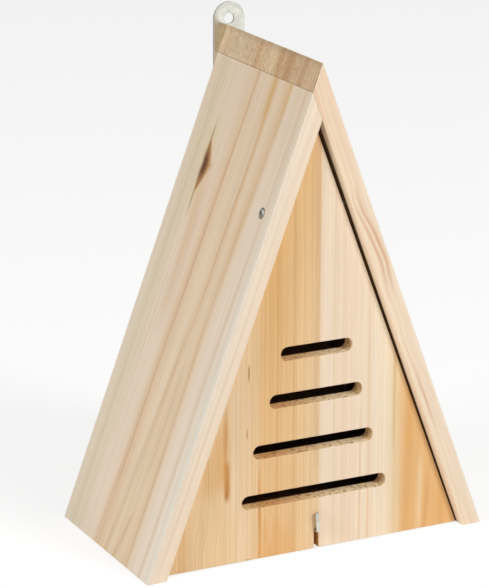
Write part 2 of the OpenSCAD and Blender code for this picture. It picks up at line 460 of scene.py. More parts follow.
@dataclass(frozen=True)
class Softwood(Finish):
    """Planed, unpainted softwood, seen along its grain.

    Attributes:
        name: The material's name.
        lie: How the grain lies.
        tones: Colours across the board, from one edge to the other.
        late: Colour of late wood, the dark part of a ring.
        top: Colour that the board drifts to at its top, if it does.
        top_share: How far it drifts there, from 0 to 1.
        length: The board's length, in millimetres.
        streaks: The streaks that stand out.
        swirls: The places where the grain bends.
        knot: The knot, if there is one.
        ring: Usual width of a ring, in millimetres.
        contrast: How strongly the rings show.
        bands: How strongly broader bands show.
        threads: How strongly fine light and dark threads show along the grain.
        tilt: How far the rings shift for each millimetre of depth.
        wander: How far the grain strays from straight, in millimetres.
        sway: How often it strays, for each millimetre.
        seed: Sets one board's pattern apart from another's.
        rough: Roughness.
        relief: Depth of the planed or sawn relief, in millimetres.
    """

    name: str
    lie: Lie
    tones: tuple[Stop, ...]
    late: str = "CBA06C"
    top: str | None = None
    top_share: float = 0.5
    length: float = 300.0
    streaks: tuple[Streak, ...] = ()
    swirls: tuple[Swirl, ...] = ()
    knot: Knot | None = None
    ring: float = 1.7
    contrast: float = 0.2
    bands: float = 0.1
    threads: float = 0.16
    tilt: float = 0.6
    wander: float = 1.5
    sway: float = 0.011
    seed: float = 0.0
    rough: float = 0.62
    relief: float = 0.09

    def draw(self, sheet: Sheet) -> None:
        """Draws tones, streaks, bands, rings, fibres and the knot on an empty sheet.

        Args:
            sheet: The sheet.
        """
        across, inward, along = self.lie.place(sheet)
        stray = sheet.point(across * 0.03 + self.seed, inward * 0.03, along * self.sway)
        slow = sheet.noise(stray, 1.5)
        where = across + inward * self.tilt + (slow - 0.5) * (2.0 * self.wander)
        for swirl in self.swirls:
            where = where + swirl.shift(sheet, across, along)
        rise = (along / self.length).clamped()
        colour = sheet.ramp(self.tones, where)
        if self.top is not None:
            colour = sheet.mix(rise * rise * self.top_share, colour, paint(self.top))
        patch = sheet.noise(sheet.point(across * 0.07, inward * 0.07 + self.seed, along * 0.018), 2.0)
        fine = sheet.lines(where / self.ring + self.seed * 7.0, 2.5, 0.6)
        for streak in self.streaks:
            mark = sheet.ridge(where - streak.middle(rise), streak.width * 1.9)
            mark = streak.along(sheet, mark, along)
            share = mark * streak.depth * (patch * 1.5 + 0.2) * (fine * 1.3 + 0.35)
            colour = sheet.mix(share, colour, paint(streak.tint or self.late))
        vigour = sheet.noise(sheet.point(across * 0.12, self.seed, along * 0.012), 1.0)
        broad = sheet.step(sheet.lines(where / (self.ring * 3.3) + self.seed, 2.0), 0.46, 0.66)
        colour = sheet.mix(broad * vigour * 2.0 * self.bands, colour, paint(self.late))
        late = sheet.step(fine, 0.42, 0.72)
        colour = sheet.mix(late * (vigour * 1.6 + 0.2) * self.contrast, colour, paint(self.late))
        thin = 1.0 / self.ring
        place = sheet.point(across * thin, inward * thin, along * 0.014 - self.seed)
        thread = sheet.noise(place, 2.5, 0.65)
        fibre = sheet.noise(sheet.point(across * 2.6, inward * 2.6, along * 0.07 + self.seed), 3.0, 0.6)
        pore = sheet.noise(sheet.point(across * 4.5, inward * 4.5, along * 0.3 - self.seed), 1.0)
        pores = sheet.step(pore, 0.66, 0.76)
        light = 1.0 + (fibre - 0.5) * 0.12 + (thread - 0.5) * self.threads
        light = light + (patch - 0.5) * 0.08 - pores * 0.05
        colour = sheet.brighten(colour, light)
        height = fibre * 0.7 + late * 0.3 - pores * 0.4
        if self.knot is not None:
            colour = self.knot.draw(sheet, colour, across, along)
        looks = {
            "Base Color": colour,
            "Roughness": self.rough + (fibre - 0.5) * 0.16 - late * 0.05,
            "Specular IOR Level": 0.3,
        }
        sheet.surface(looks, height, self.relief * MM)


@dataclass(frozen=True)
class EndGrain(Finish):
    """The same softwood, sawn or routed across its grain: darker, dull and pitted.

    Attributes:
        name: The material's name.
        lie: How the face lies: pits are drawn out along it, and rings cross it.
        tones: Colours across the board, from one edge to the other.
        dark: Colour of the pits and of late wood.
        ring: Usual width of a ring, in millimetres.
        tilt: How far the rings shift for each millimetre of depth.
        smear: How far the tool has drawn the pits out.
        grit: How many pits there are for each millimetre.
        pitted: How strongly the pits show.
        clouded: How strongly lighter and darker clouds show.
        streaks: The stains that stand out.
        seed: Sets one board's pattern apart from another's.
    """

    name: str
    lie: Lie
    tones: tuple[Stop, ...]
    dark: str = "9A7748"
    ring: float = 2.2
    tilt: float = 0.6
    smear: float = 1.0
    grit: float = 1.2
    pitted: float = 0.5
    clouded: float = 0.2
    streaks: tuple[Streak, ...] = ()
    seed: float = 0.0

    def draw(self, sheet: Sheet) -> None:
        """Draws rings, stains and pits on an empty sheet.

        Args:
            sheet: The sheet.
        """
        across, inward, along = self.lie.place(sheet)
        drawn = 1.0 / self.smear
        slow = sheet.noise(sheet.point(across * 0.12 + self.seed, inward * 0.12, along * 0.12 * drawn), 2.0)
        where = across + (slow - 0.5) * 6.0
        colour = sheet.ramp(self.tones, where)
        cloud = sheet.noise(sheet.point(across * 0.25, inward * 0.25, along * 0.2 * drawn + self.seed), 3.0)
        for streak in self.streaks:
            mark = sheet.ridge(where - streak.foot, streak.width * 1.6)
            mark = streak.along(sheet, mark, along)
            share = (mark * streak.depth * (cloud * 1.4 + 0.3)).clamped()
            colour = sheet.mix(share, colour, paint(streak.tint or self.dark))
        rings = sheet.lines((where + inward * self.tilt) / self.ring + self.seed * 3.0, 1.0)
        late = sheet.step(rings, 0.45, 0.75)
        place = sheet.point(across * self.grit, inward * self.grit, along * self.grit * drawn + self.seed)
        pit = sheet.noise(place, 3.0, 0.65)
        pits = sheet.step(pit, 0.5, 0.66)
        pale = sheet.step(pit, 0.48, 0.34)
        colour = sheet.mix(late * 0.2, colour, paint(self.dark))
        colour = sheet.mix(pits * self.pitted * (cloud + 0.5), colour, paint(self.dark))
        colour = sheet.mix(pale * self.pitted * 0.4, colour, paint(PALE_FIBRE))
        colour = sheet.brighten(colour, 1.0 + (cloud - 0.5) * self.clouded)
        looks = {"Base Color": colour, "Roughness": 0.8 - pale * 0.1, "Specular IOR Level": 0.2}
        sheet.surface(looks, 1.0 - pit, 0.3 * MM)


class Worked(Enum):
    """How a piece of steel got its surface. The value is how close its scratches lie each way."""

    BRUSHED = (9.0, 9.0, 0.12)
    TUMBLED = (3.0, 3.0, 3.0)
    DRAWN = (5.0, 5.0, 0.4)


@dataclass(frozen=True)
class Steel(Finish):
    """Steel, plated or bare.

    Attributes:
        name: The material's name.
        worked: How it got its surface.
        bright: Colour where it is clean.
        dull: Colour where the plating is dull.
        rough: Roughness where it is clean.
        scratched: How strongly the scratches show.
        lie: How the steel lies.
    """

    name: str
    worked: Worked
    bright: str
    dull: str
    rough: float
    scratched: float = 0.3
    lie: Lie = Lie(Vector(), RIGHT, UP)

    def draw(self, sheet: Sheet) -> None:
        """Draws scratches and dull patches on an empty sheet.

        Args:
            sheet: The sheet.
        """
        across, inward, along = self.lie.place(sheet)
        x, y, z = self.worked.value
        scratch = sheet.noise(sheet.point(across * x, inward * y, along * z), 3.0, 0.7)
        cloud = sheet.noise(sheet.point(across * 0.35, inward * 0.35, along * 0.2), 2.0)
        wear = sheet.step(cloud, 0.35, 0.7) * 0.5 + sheet.step(scratch, 0.35, 0.75) * self.scratched
        looks = {
            "Base Color": sheet.mix(wear, paint(self.bright), paint(self.dull)),
            "Metallic": 1.0,
            "Roughness": self.rough + wear * 0.18,
        }
        sheet.surface(looks, scratch, 0.012 * MM)


def edge_middle(edge: bmesh.types.BMEdge) -> Vector:
    """The point halfway along an edge."""
    return (edge.verts[0].co + edge.verts[1].co) / 2


class Workpiece:
    """One piece of the house on the bench, shaped with Blender's own tools."""

    def __init__(self, obj: bpy.types.Object) -> None:
        """Keeps the piece's object."""
        self.obj = obj

    @staticmethod
    def clear_bench() -> None:
        """Leaves nothing selected."""
        bpy.ops.object.select_all(action="DESELECT")

    @classmethod
    def taken(cls, name: str) -> "Workpiece":
        """Names the primitive that was just added, and puts its place into its mesh.

        Args:
            name: The piece's name.

        Returns:
            The primitive as a workpiece.
        """
        made = cls(bpy.context.active_object)
        made.obj.name = name
        made.obj.data.name = name
        bpy.ops.object.transform_apply(location=True, rotation=True, scale=True)
        return made

    @classmethod
    def block(cls, name: str, low: Vector, high: Vector) -> "Workpiece":
        """A squared block.

        Args:
            name: The piece's name.
            low: Its lowest corner.
            high: Its highest corner.

        Returns:
            The block.
        """
        cls.clear_bench()
        size = high - low
        bpy.ops.mesh.primitive_cube_add(size=1.0, location=(low + high) / 2, scale=size)
        return cls.taken(name)

    @classmethod
    def rod(cls, name: str, start: Vector, end: Vector, radius: float, sides: int = 48) -> "Workpiece":
        """A round rod.

        Args:
            name: The piece's name.
            start: Middle of one end.
            end: Middle of the other end.
            radius: Its radius.
            sides: How many sides stand for its round.

        Returns:
            The rod.
        """
        cls.clear_bench()
        run = end - start
        bpy.ops.mesh.primitive_cylinder_add(
            vertices=sides,
            radius=radius,
            depth=run.length,
            location=(start + end) / 2,
            rotation=run.to_track_quat("Z", "Y").to_euler(),
        )
        return cls.taken(name)

    @classmethod
    def lozenge(
        cls, name: str, middle: Vector, reach: Vector, radius: float, depth: float, sides: int = 48
    ) -> "Workpiece":
        """A flat bar with round ends, which faces the front.

        Args:
            name: The piece's name.
            middle: Its middle.
            reach: From its middle to the middle of one round end.
            radius: Radius of its round ends.
            depth: Its thickness.
            sides: How many sides stand for a full round.

        Returns:
            The bar.
        """
        cls.clear_bench()
        half_step = math.pi / sides
        bpy.ops.mesh.primitive_cylinder_add(
            vertices=sides, radius=radius, depth=depth, location=middle, rotation=(QUARTER, half_step, 0.0)
        )
        made = cls.taken(name)
        for side in (1, -1):
            with made.editing("VERT") as mesh:
                made.pick(mesh.verts, lambda vert: side * (vert.co - middle).dot(reach) > 0)
                bpy.ops.transform.translate(value=side * reach)
        return made

    @classmethod
    def turned(cls, name: str, outline: Sequence[tuple[float, float]], sides: int = 32) -> "Workpiece":
        """A piece turned on the Z axis, ring by ring from the bottom up.

        Args:
            name: The piece's name.
            outline: Radius and height of each ring.
            sides: How many sides stand for its round.

        Returns:
            The turned piece.
        """
        cls.clear_bench()
        (low_radius, low), (high_radius, high) = outline[:2]
        bpy.ops.mesh.primitive_cone_add(
            vertices=sides,
            radius1=low_radius,
            radius2=high_radius,
            depth=high - low,
            location=(0.0, 0.0, (low + high) / 2),
        )
        made = cls.taken(name)
        for (radius, height), (next_radius, next_height) in zip(outline[1:], outline[2:]):
            with made.editing() as mesh:
                made.pick(mesh.faces, lambda face: face.normal.z > 0.99
                          and abs(face.calc_center_median().z - height) < TINY * 0.1)
                bpy.ops.mesh.extrude_region_move(
                    TRANSFORM_OT_translate={"value": (0.0, 0.0, next_height - height)}
                )
                scale = next_radius / radius
                bpy.ops.transform.resize(
                    value=(scale, scale, 1.0), center_override=(0.0, 0.0, next_height)
                )
        return made

    @contextmanager
    def editing(self, kind: str = "FACE") -> Iterator[bmesh.types.BMesh]:
        """Opens the piece for editing, with nothing selected.

        Args:
            kind: What is selected: VERT, EDGE or FACE.

        Yields:
            The mesh under edit.
        """
        self.hold()
        bpy.ops.object.mode_set(mode="EDIT")
        bpy.ops.mesh.select_mode(type=kind)
        bpy.ops.mesh.select_all(action="DESELECT")
        yield bmesh.from_edit_mesh(self.obj.data)
        bpy.ops.object.mode_set(mode="OBJECT")

    def hold(self) -> None:
        """Selects this piece alone."""
        self.clear_bench()
        self.obj.select_set(True)
        bpy.context.view_layer.objects.active = self.obj

    def pick(self, parts: Any, wanted: Callable[[Any], bool]) -> None:
        """Selects corners, edges or faces, and tells the tools.

        Args:
            parts: Those that may be selected.
            wanted: Tells whether one is.
        """
        for part in parts:
            part.select_set(wanted(part))
        bmesh.update_edit_mesh(self.obj.data)

    def trim(self, point: Vector, normal: Vector) -> "Workpiece":
        """Saws off what lies beyond a plane, on the side that its normal points to.

        Args:
            point: A point on the plane.
            normal: The plane's normal.

        Returns:
            The same piece.
        """
        with self.editing():
            bpy.ops.mesh.select_all(action="SELECT")
            bpy.ops.mesh.bisect(plane_co=point, plane_no=normal, use_fill=True, clear_outer=True)
        return self

    def score(self, point: Vector, normal: Vector) -> "Workpiece":
        """Draws a line round the piece where a plane meets it, and takes nothing off.

        Args:
            point: A point on the plane.
            normal: The plane's normal.

        Returns:
            The same piece.
        """
        with self.editing():
            bpy.ops.mesh.select_all(action="SELECT")
            bpy.ops.mesh.bisect(plane_co=point, plane_no=normal)
        return self

    def modify(self, kind: str, **settings: Any) -> "Workpiece":
        """Adds one modifier and applies it.

        Args:
            kind: The modifier's type.
            settings: Its settings.

        Returns:
            The same piece.
        """
        self.hold()
        bpy.ops.object.modifier_add(type=kind)
        modifier = self.obj.modifiers[-1]
        for key, setting in settings.items():
            setattr(modifier, key, setting)
        bpy.ops.object.modifier_apply(modifier=modifier.name)
        return self

    def cut(self, *cutters: "Workpiece") -> "Workpiece":
        """Cuts the shapes of other workpieces out of this one, and uses them up.

        Args:
            cutters: The shapes that are cut out.

        Returns:
            The same piece.
        """
        for cutter in cutters:
            self.modify("BOOLEAN", operation="DIFFERENCE", solver="EXACT", object=cutter.obj)
            bpy.data.objects.remove(cutter.obj)
        return self

    def weld(self, *others: "Workpiece") -> "Workpiece":
        """Makes other workpieces one solid with this one, and uses them up.

        Args:
            others: The workpieces that are added.

        Returns:
            The same piece.
        """
        for other in others:
            self.modify("BOOLEAN", operation="UNION", solver="EXACT", object=other.obj)
            bpy.data.objects.remove(other.obj)
        return self

    def group(self, *others: "Workpiece") -> "Workpiece":
        """Takes separate workpieces into this object, each still a solid of its own.

        Args:
            others: The workpieces that are taken in.

        Returns:
            The same piece.
        """
        self.hold()
        for other in others:
            other.obj.select_set(True)
        bpy.ops.object.join()
        return self

    def soften(
        self, width: float, segments: int = 2, angle: float = 30.0, fine: EdgeTest | None = None
    ) -> "Workpiece":
        """Breaks the sharp edges.

        Args:
            width: Width of the broken edge.
            segments: How many steps round it off.
            angle: The least angle of an edge that counts as sharp, in degrees.
            fine: Picks, by their middle, the edges that are broken less than half as much.

        Returns:
            The same piece.
        """
        for is_fine, weight in ((False, 1.0), (True, 0.4)):
            with self.editing("EDGE") as mesh:
                self.pick(mesh.edges, lambda edge: edge.calc_face_angle(0.0) > math.radians(angle)
                          and is_fine == (fine is not None and fine(edge_middle(edge))))
                bpy.ops.transform.edge_bevelweight(value=weight)
        return self.modify("BEVEL", width=width, segments=segments, limit_method="WEIGHT")

    def smooth(self, angle: float = 20.0) -> "Workpiece":
        """Shades round walls smooth and leaves sharp edges crisp.

        Args:
            angle: The least angle of an edge that counts as sharp, in degrees.

        Returns:
            The same piece.
        """
        self.hold()
        bpy.ops.object.shade_smooth_by_angle(angle=math.radians(angle))
        return self

    def copied(self, name: str) -> "Workpiece":
        """A copy with a mesh of its own.

        Args:
            name: The copy's name.

        Returns:
            The copy.
        """
        twin = self.obj.copy()
        twin.data = self.obj.data.copy()
        twin.name = name
        twin.data.name = name
        bpy.context.scene.collection.objects.link(twin)
        return Workpiece(twin)

    def placed(self, matrix: Matrix) -> "Workpiece":
        """Moves the mesh to its place, with the object left at the origin.

        Args:
            matrix: The turn and the shift.

        Returns:
            The same piece.
        """
        self.obj.matrix_world = matrix
        self.hold()
        bpy.ops.object.transform_apply(location=True, rotation=True, scale=True)
        if matrix.determinant() < 0:
            self.right_side_out()
        return self

    def right_side_out(self) -> "Workpiece":
        """Points every face outwards.

        Returns:
            The same piece.
        """
        with self.editing():
            bpy.ops.mesh.select_all(action="SELECT")
            bpy.ops.mesh.normals_make_consistent(inside=False)
        return self

    def dress(self, finish: Finish, where: FaceTest | None = None) -> "Workpiece":
        """Gives the piece, or some of its faces, a finish.

        Args:
            finish: The finish.
            where: Picks the faces by their middle and normal. Without it, all faces are meant.

        Returns:
            The same piece.
        """
        self.obj.data.materials.append(finish.material())
        index = len(self.obj.data.materials) - 1
        for polygon in self.obj.data.polygons:
            if where is None or where(polygon.center, polygon.normal):
                polygon.material_index = index
        return self

    def fit(self, body: str, slot: str, *nodes: str) -> None:
        """Makes the piece part of the house.

        Args:
            body: The body that it rides on.
            slot: The record's material slot. Not used.
            nodes: The frame's nodes that it stands for.
        """
        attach(self.obj, body)
        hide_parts(*nodes)
        log.info("%s: %d faces, for %s", self.obj.name, len(self.obj.data.polygons), ", ".join(nodes))


@dataclass(frozen=True)
class Lines:
    """The house's main lines, read from the frame.

    Attributes:
        height: Height of the ridge.
        half_width: Half the width across the roof boards' feet.
        front: Depth of the boards' front edges.
        rear: Depth of the boards' rear edges.
        inner_half: Half the width between the boards at the ground.
        inner_top: Height at which the boards' inner faces meet.
        panel_front: Depth of the back panel's front face.
    """

    height: float
    half_width: float
    front: float
    rear: float
    inner_half: float
    inner_top: float
    panel_front: float

    @classmethod
    def read(cls) -> "Lines":
        """Reads the lines from the roof boards' and the back panel's boxes.

        Returns:
            The lines.
        """
        low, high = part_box("right_roof_board")
        panel_low, panel_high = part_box("back_panel")
        return cls(
            height=high.z,
            half_width=high.x,
            front=low.y,
            rear=high.y,
            inner_half=panel_high.x,
            inner_top=panel_high.z,
            panel_front=panel_low.y,
        )

    @property
    def lean(self) -> float:
        """Angle of a roof board from upright."""
        return math.atan(self.half_width / self.height)

    @property
    def ridge(self) -> Vector:
        """A point on the ridge."""
        return UP * self.height

    @property
    def inner_ridge(self) -> Vector:
        """A point on the line where the inner faces meet."""
        return UP * self.inner_top

    def outward(self, side: int) -> Vector:
        """The direction that a board's outer face looks in: side is -1 for left, 1 for right."""
        return Vector((side * math.cos(self.lean), 0.0, math.sin(self.lean)))

    def upward(self, side: int) -> Vector:
        """The direction of a board's grain, from its foot to the ridge."""
        return Vector((-side * math.sin(self.lean), 0.0, math.cos(self.lean)))

    @property
    def seam(self) -> Vector:
        """A point on the line along the outer face where the two boards meet."""
        butt = (self.height + self.inner_top) / 2
        return Vector((-self.outer(butt), 0.0, butt))

    def lie(self, side: int) -> Lie:
        """How a roof board's grain lies, taken from its outer face's foot."""
        foot = RIGHT * side * self.half_width
        return Lie(foot, REAR, self.upward(side))

    def edge_lie(self, side: int) -> Lie:
        """How the grain lies on a roof board's front edge, taken from the outer face inwards."""
        foot = Vector((side * self.half_width, self.front, 0.0))
        return Lie(foot, -self.outward(side), self.upward(side))

    def outer(self, z: float) -> float:
        """Distance of an outer face from the middle at a height."""
        return self.half_width * (1 - z / self.height)


def joint_point(name: str) -> Vector:
    """A point on the line that a joint of the frame turns about."""
    return next(Vector(j["pos_m"]) for j in frame["joints"] if j["name"] == name)


def pivot_line() -> Vector:
    """A point on the door's pivot line."""
    return joint_point("door_swing")


def latch_line() -> Vector:
    """A point on the line that the hook turns about."""
    return joint_point("latch_turn")


@dataclass
class BradPlan:
    """Where the brads go, and the holes that they leave.

    Attributes:
        lines: The house's lines.
        radius: A brad's radius.
        set_depth: How deep a brad is set below the face.
        panel_length: Length of the brads in the panels.
        ridge_length: Length of the brads at the ridge.
        ridge_margin: Distance of the outer ridge brads from the boards' edges.
        back_heights: Heights of those that hold the back panel.
        floor_depths: Depths of those that hold the floor panel from the side.
        rear_places: Sideways places of those that hold the floor panel from behind.
    """

    lines: Lines
    radius: float = 0.6 * MM
    set_depth: float = 0.5 * MM
    panel_length: float = 25.0 * MM
    ridge_length: float = 15.0 * MM
    ridge_margin: float = 16.0 * MM
    back_heights: tuple[float, ...] = (30.0 * MM, 110.0 * MM, 190.0 * MM)
    floor_depths: tuple[float, ...] = (-20.0 * MM, 26.0 * MM)
    rear_places: tuple[float, ...] = (-52.0 * MM, 0.0, 52.0 * MM)

    def ridge_starts(self) -> list[tuple[Vector, Vector]]:
        """Start and direction of each ridge brad.

        Returns:
            A point on the face and the direction into the wood, for each.
        """
        line = self.lines
        inward = -line.outward(1)
        thick = (line.half_width - line.inner_half) * math.cos(line.lean)
        middle = Vector((line.seam.x / 2, 0.0, (line.inner_top + line.seam.z) / 2)) - inward * thick
        depths = (line.front + self.ridge_margin, 0.0, line.rear - self.ridge_margin)
        return [(middle + REAR * depth, inward) for depth in depths]

    def side_starts(self) -> list[tuple[Vector, Vector]]:
        """Start and direction of each brad in the right board's outer face.

        Returns:
            A point on the face and the direction into the wood, for each.
        """
        line = self.lines
        level = latch_line().z
        panel_middle = (line.panel_front + line.rear) / 2
        starts = [Vector((line.outer(z), panel_middle, z)) for z in self.back_heights]
        starts += [Vector((line.outer(level), depth, level)) for depth in self.floor_depths]
        return [(start, -RIGHT) for start in starts]

    def rear_starts(self) -> list[tuple[Vector, Vector]]:
        """Start and direction of each brad in the back panel's rear face."""
        level = latch_line().z
        return [(Vector((x, self.lines.rear, level)), -REAR) for x in self.rear_places]

    def hole(self, start: Vector, into: Vector, length: float) -> Workpiece:
        """A cutter for one brad's hole, open at the face.

        Args:
            start: Where the brad goes in.
            into: The direction that it goes in.
            length: The brad's length.

        Returns:
            The cutter.
        """
        proud = 2.0 * MM
        end = start + into * (length + self.set_depth)
        return Workpiece.rod("hole", start - into * proud, end, self.radius, sides=24)

    def drive(self, name: str, starts: Sequence[tuple[Vector, Vector]], length: float) -> Workpiece:
        """Makes the brads of one row.

        Args:
            name: The piece's name.
            starts: Start and direction of each.
            length: A brad's length.

        Returns:
            The row of brads.
        """
        r = self.radius
        dimple = 0.12 * MM
        outline = [
            (r * 0.18, -length),
            (r * 0.8, -length + 2.2 * MM),
            (r * 0.97, -length + 3.0 * MM),
            (r * 0.97, -0.5 * MM),
            (r, -0.3 * MM),
            (r, -0.1 * MM),
            (r * 0.85, 0.0),
            (r * 0.55, 0.0),
            (r * 0.3, -dimple),
        ]
        model = Workpiece.turned("brad", outline, sides=20).smooth(35.0)
        row = []
        for index, (start, into) in enumerate(starts):
            turn = (-into).to_track_quat("Z", "Y").to_matrix().to_4x4()
            place = Matrix.Translation(start + into * self.set_depth) @ turn
            row.append(model.copied(f"brad_{index}").placed(place))
        bpy.data.objects.remove(model.obj)
        row[0].group(*row[1:])
        row[0].obj.name = name
        return row[0]


@dataclass
class Roof:
    """The two roof boards.

    Attributes:
        lines: The house's lines.
        brads: Where the brads go.
        arris: Width of the boards' broken edges.
        screw_bore: Radius of the running bore for a pivot screw.
        head_pocket: Radius of the pocket for a screw's head.
        pocket_depth: Depth of that pocket below the head's face.
        rough_from: Depth from which the inner faces are left rough and painted dark as shade.
        knot: The knot on the left board.
    """

    lines: Lines
    brads: BradPlan
    arris: float = ARRIS
    screw_bore: float = 1.66 * MM
    head_pocket: float = 3.05 * MM
    pocket_depth: float = 2.3 * MM
    rough_from: float = -51.2 * MM
    knot: Knot = Knot(across=33.2, along=222.0, up=16.0, down=19.0, bulge=9.6)

    def _blank(self, name: str) -> Workpiece:
        """A block that both boards are sawn from.

        Args:
            name: The board's name.

        Returns:
            The block.
        """
        line = self.lines
        low = Vector((-line.half_width, line.front, 0.0))
        high = Vector((line.half_width, line.rear, line.height))
        return Workpiece.block(name, low, high)

    def _pivot_holes(self, side: int) -> list[Workpiece]:
        """Cutters for one pivot screw's bore and its head's pocket.

        Args:
            side: -1 for the left board, 1 for the right one.

        Returns:
            The cutters.
        """
        pivot = pivot_line()
        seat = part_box("right_pivot_screw")[1].x - self.pocket_depth
        past = Vector((side * self.lines.half_width, pivot.y, pivot.z))
        floor = Vector((side * seat, pivot.y, pivot.z))
        axis = Vector((0.0, pivot.y, pivot.z))
        return [
            Workpiece.rod("pocket", past, floor, self.head_pocket),
            Workpiece.rod("bore", past, axis, self.screw_bore),
        ]

    def _near_seam(self, centre: Vector) -> bool:
        """Whether a point is on the outer edge of the butt joint."""
        return (Vector((centre.x, 0.0, centre.z)) - self.lines.seam).length < 0.3 * MM

    def build(self) -> None:
        """Saws, softens, bores and dresses both boards."""
        line = self.lines
        left = self._blank("roof_board_left")
        left.trim(line.ridge, line.outward(-1))
        left.trim(line.inner_ridge, -line.outward(-1))
        left.trim(line.inner_ridge, line.outward(1))
        right = self._blank("roof_board_right")
        right.trim(line.ridge, line.outward(1))
        right.trim(line.inner_ridge, -line.outward(1))
        right.trim(line.ridge, line.outward(-1))
        for side, board in ((-1, left), (1, right)):
            board.score(REAR * self.rough_from, REAR)
            board.soften(self.arris, fine=self._near_seam)
            board.cut(*self._pivot_holes(side))
            for start, into in self.brads.ridge_starts():
                board.cut(self.brads.hole(start, into, self.brads.ridge_length))
        for start, into in self.brads.side_starts():
            right.cut(self.brads.hole(start, into, self.brads.panel_length))
        self._dress(left, -1, self.left_wood(), self.left_edge_wood())
        self._dress(right, 1, self.right_wood(), self.right_edge_wood())
        right.dress(self.ridge_band(), lambda _, n: n.dot(line.outward(-1)) > 0.97)
        for board in (left, right):
            board.dress(self.seam_shade(), lambda c, _: self._near_seam(c))
        left.smooth().fit("house", "roof_wood", "left_roof_board")
        right.smooth().fit("house", "roof_wood", "right_roof_board")

    def _dress(self, board: Workpiece, side: int, wood: Softwood, edge: Softwood) -> None:
        """Puts a board's finishes on its faces.

        Args:
            board: The board.
            side: -1 for the left board, 1 for the right one.
            wood: The finish of its broad faces.
            edge: The finish of its front edge.
        """
        line = self.lines
        side_name = "left" if side < 0 else "right"
        rough = rough_sawn_painted_shade(f"rough_sawn_painted_shade_{side_name}_board", line.lie(side), 41.0 + side)
        end = EndGrain(
            name=f"sawn_foot_{side_name}_board",
            lie=line.lie(side),
            tones=((-57.5, "D8BC94"), (0.0, "CFAF83"), (57.5, "D6BA90")),
            seed=5.0 + side,
        )

        def is_inside(centre: Vector, normal: Vector) -> bool:
            """Whether a face looks into the house, behind the door's face."""
            return normal.dot(line.outward(side)) < -0.98 and centre.y > self.rough_from

        board.dress(wood)
        board.dress(edge, lambda _, n: n.y < -0.5)
        board.dress(rough, is_inside)
        board.dress(end, lambda _, n: n.z < -0.9)

    def left_wood(self) -> Softwood:
        """The left board: pinkish cream, with tan streaks in the middle of its width.

        Returns:
            The finish.
        """
        return Softwood(
            name="planed_pine_left_board",
            lie=self.lines.lie(-1),
            tones=(
                (-57.5, "E6E1D3"), (-50.0, "EADECC"), (-38.0, "ECDBC8"), (-29.0, "E7D2B5"),
                (-12.0, "E5CFB0"), (-5.0, "E8D4B7"), (10.0, "E5CCAC"), (20.0, "EBD8C4"),
                (33.0, "EBDAC6"), (57.5, "E4D7C2"),
            ),
            top="DCC6AB",
            top_share=0.75,
            length=299.0,
            late="CDA06A",
            streaks=(
                Streak(13.5, 2.6, 0.3, "CFA37A", top=4.0),
                Streak(11.8, 0.9, 0.45, "BE8F60", top=3.6, start=25.0),
                Streak(7.5, 3.0, 0.2, "D6AE84", top=1.0, stop=240.0),
                Streak(-0.5, 2.2, 0.4, "C8A070", top=-28.0, stop=160.0, fade=50.0),
                Streak(-12.0, 1.9, 0.5, top=-17.5, start=110.0, fade=60.0),
                Streak(-11.5, 1.8, 0.4, "C79F76", top=-80.0, stop=34.0, fade=14.0),
                Streak(-18.5, 2.0, 0.3, "C79F76", top=-22.0, start=40.0, stop=130.0, fade=30.0),
                Streak(-26.0, 3.6, 0.3, "D2AB78", top=-28.5),
                Streak(-28.5, 1.4, 0.35, "C69E6E", top=-26.5, stop=200.0, fade=90.0),
                Streak(-22.0, 2.0, 0.4, top=-34.0, start=150.0, fade=60.0),
                Streak(-44.5, 1.6, 0.35, "D2A888", top=-51.0),
                Streak(23.0, 4.5, 0.45, "D2AC7C", start=120.0, stop=235.0, fade=30.0),
                Streak(46.0, 4.5, 0.35, "C9BD92"),
                Streak(37.0, 3.0, 0.25, "CDC09A", top=41.0),
                Streak(-14.5, 2.4, 0.8, "CFA566", start=240.0),
                Streak(-33.0, 2.4, 0.6, "D2AC70", start=240.0),
            ),
            swirls=(Swirl(across=27.0, along=223.0, width=13.0, length=45.0, push=-2.5),),
            knot=self.knot,
            ring=2.1,
            contrast=0.12,
            bands=0.1,
            threads=0.2,
            wander=1.6,
            seed=3.0,
        )

    def left_edge_wood(self) -> Softwood:
        """The left board's front edge.

        Returns:
            The finish.
        """
        return Softwood(
            name="planed_pine_left_edge",
            lie=self.lines.edge_lie(-1),
            tones=((0.0, "E7D8C5"), (3.0, "ECDAC4"), (11.0, "ECD8BE")),
            late="D2AC83",
            streaks=(Streak(4.0, 0.8, 0.2, top=7.5),),
            ring=1.5,
            contrast=0.1,
            bands=0.06,
            wander=1.0,
            seed=17.0,
        )

    def right_edge_wood(self) -> Softwood:
        """The right board's front edge: peach, with a bent brown line above its middle.

        Returns:
            The finish.
        """
        return Softwood(
            name="planed_pine_right_edge",
            lie=self.lines.edge_lie(1),
            tones=((0.0, "F0E0CB"), (5.0, "F0DEC5"), (11.0, "F0DCC0")),
            top="E9CFAE",
            top_share=0.6,
            late="CF9A72",
            streaks=(
                Streak(1.5, 0.8, 0.7, top=5.5, start=150.0, stop=235.0),
                Streak(4.2, 0.7, 0.5, top=8.8, start=150.0, stop=225.0),
                Streak(7.0, 0.8, 0.5, start=60.0, stop=120.0),
                Streak(8.0, 0.8, 0.4, top=10.5, start=240.0),
            ),
            ring=2.2,
            contrast=0.2,
            bands=0.14,
            wander=4.5,
            sway=0.03,
            seed=29.0,
        )

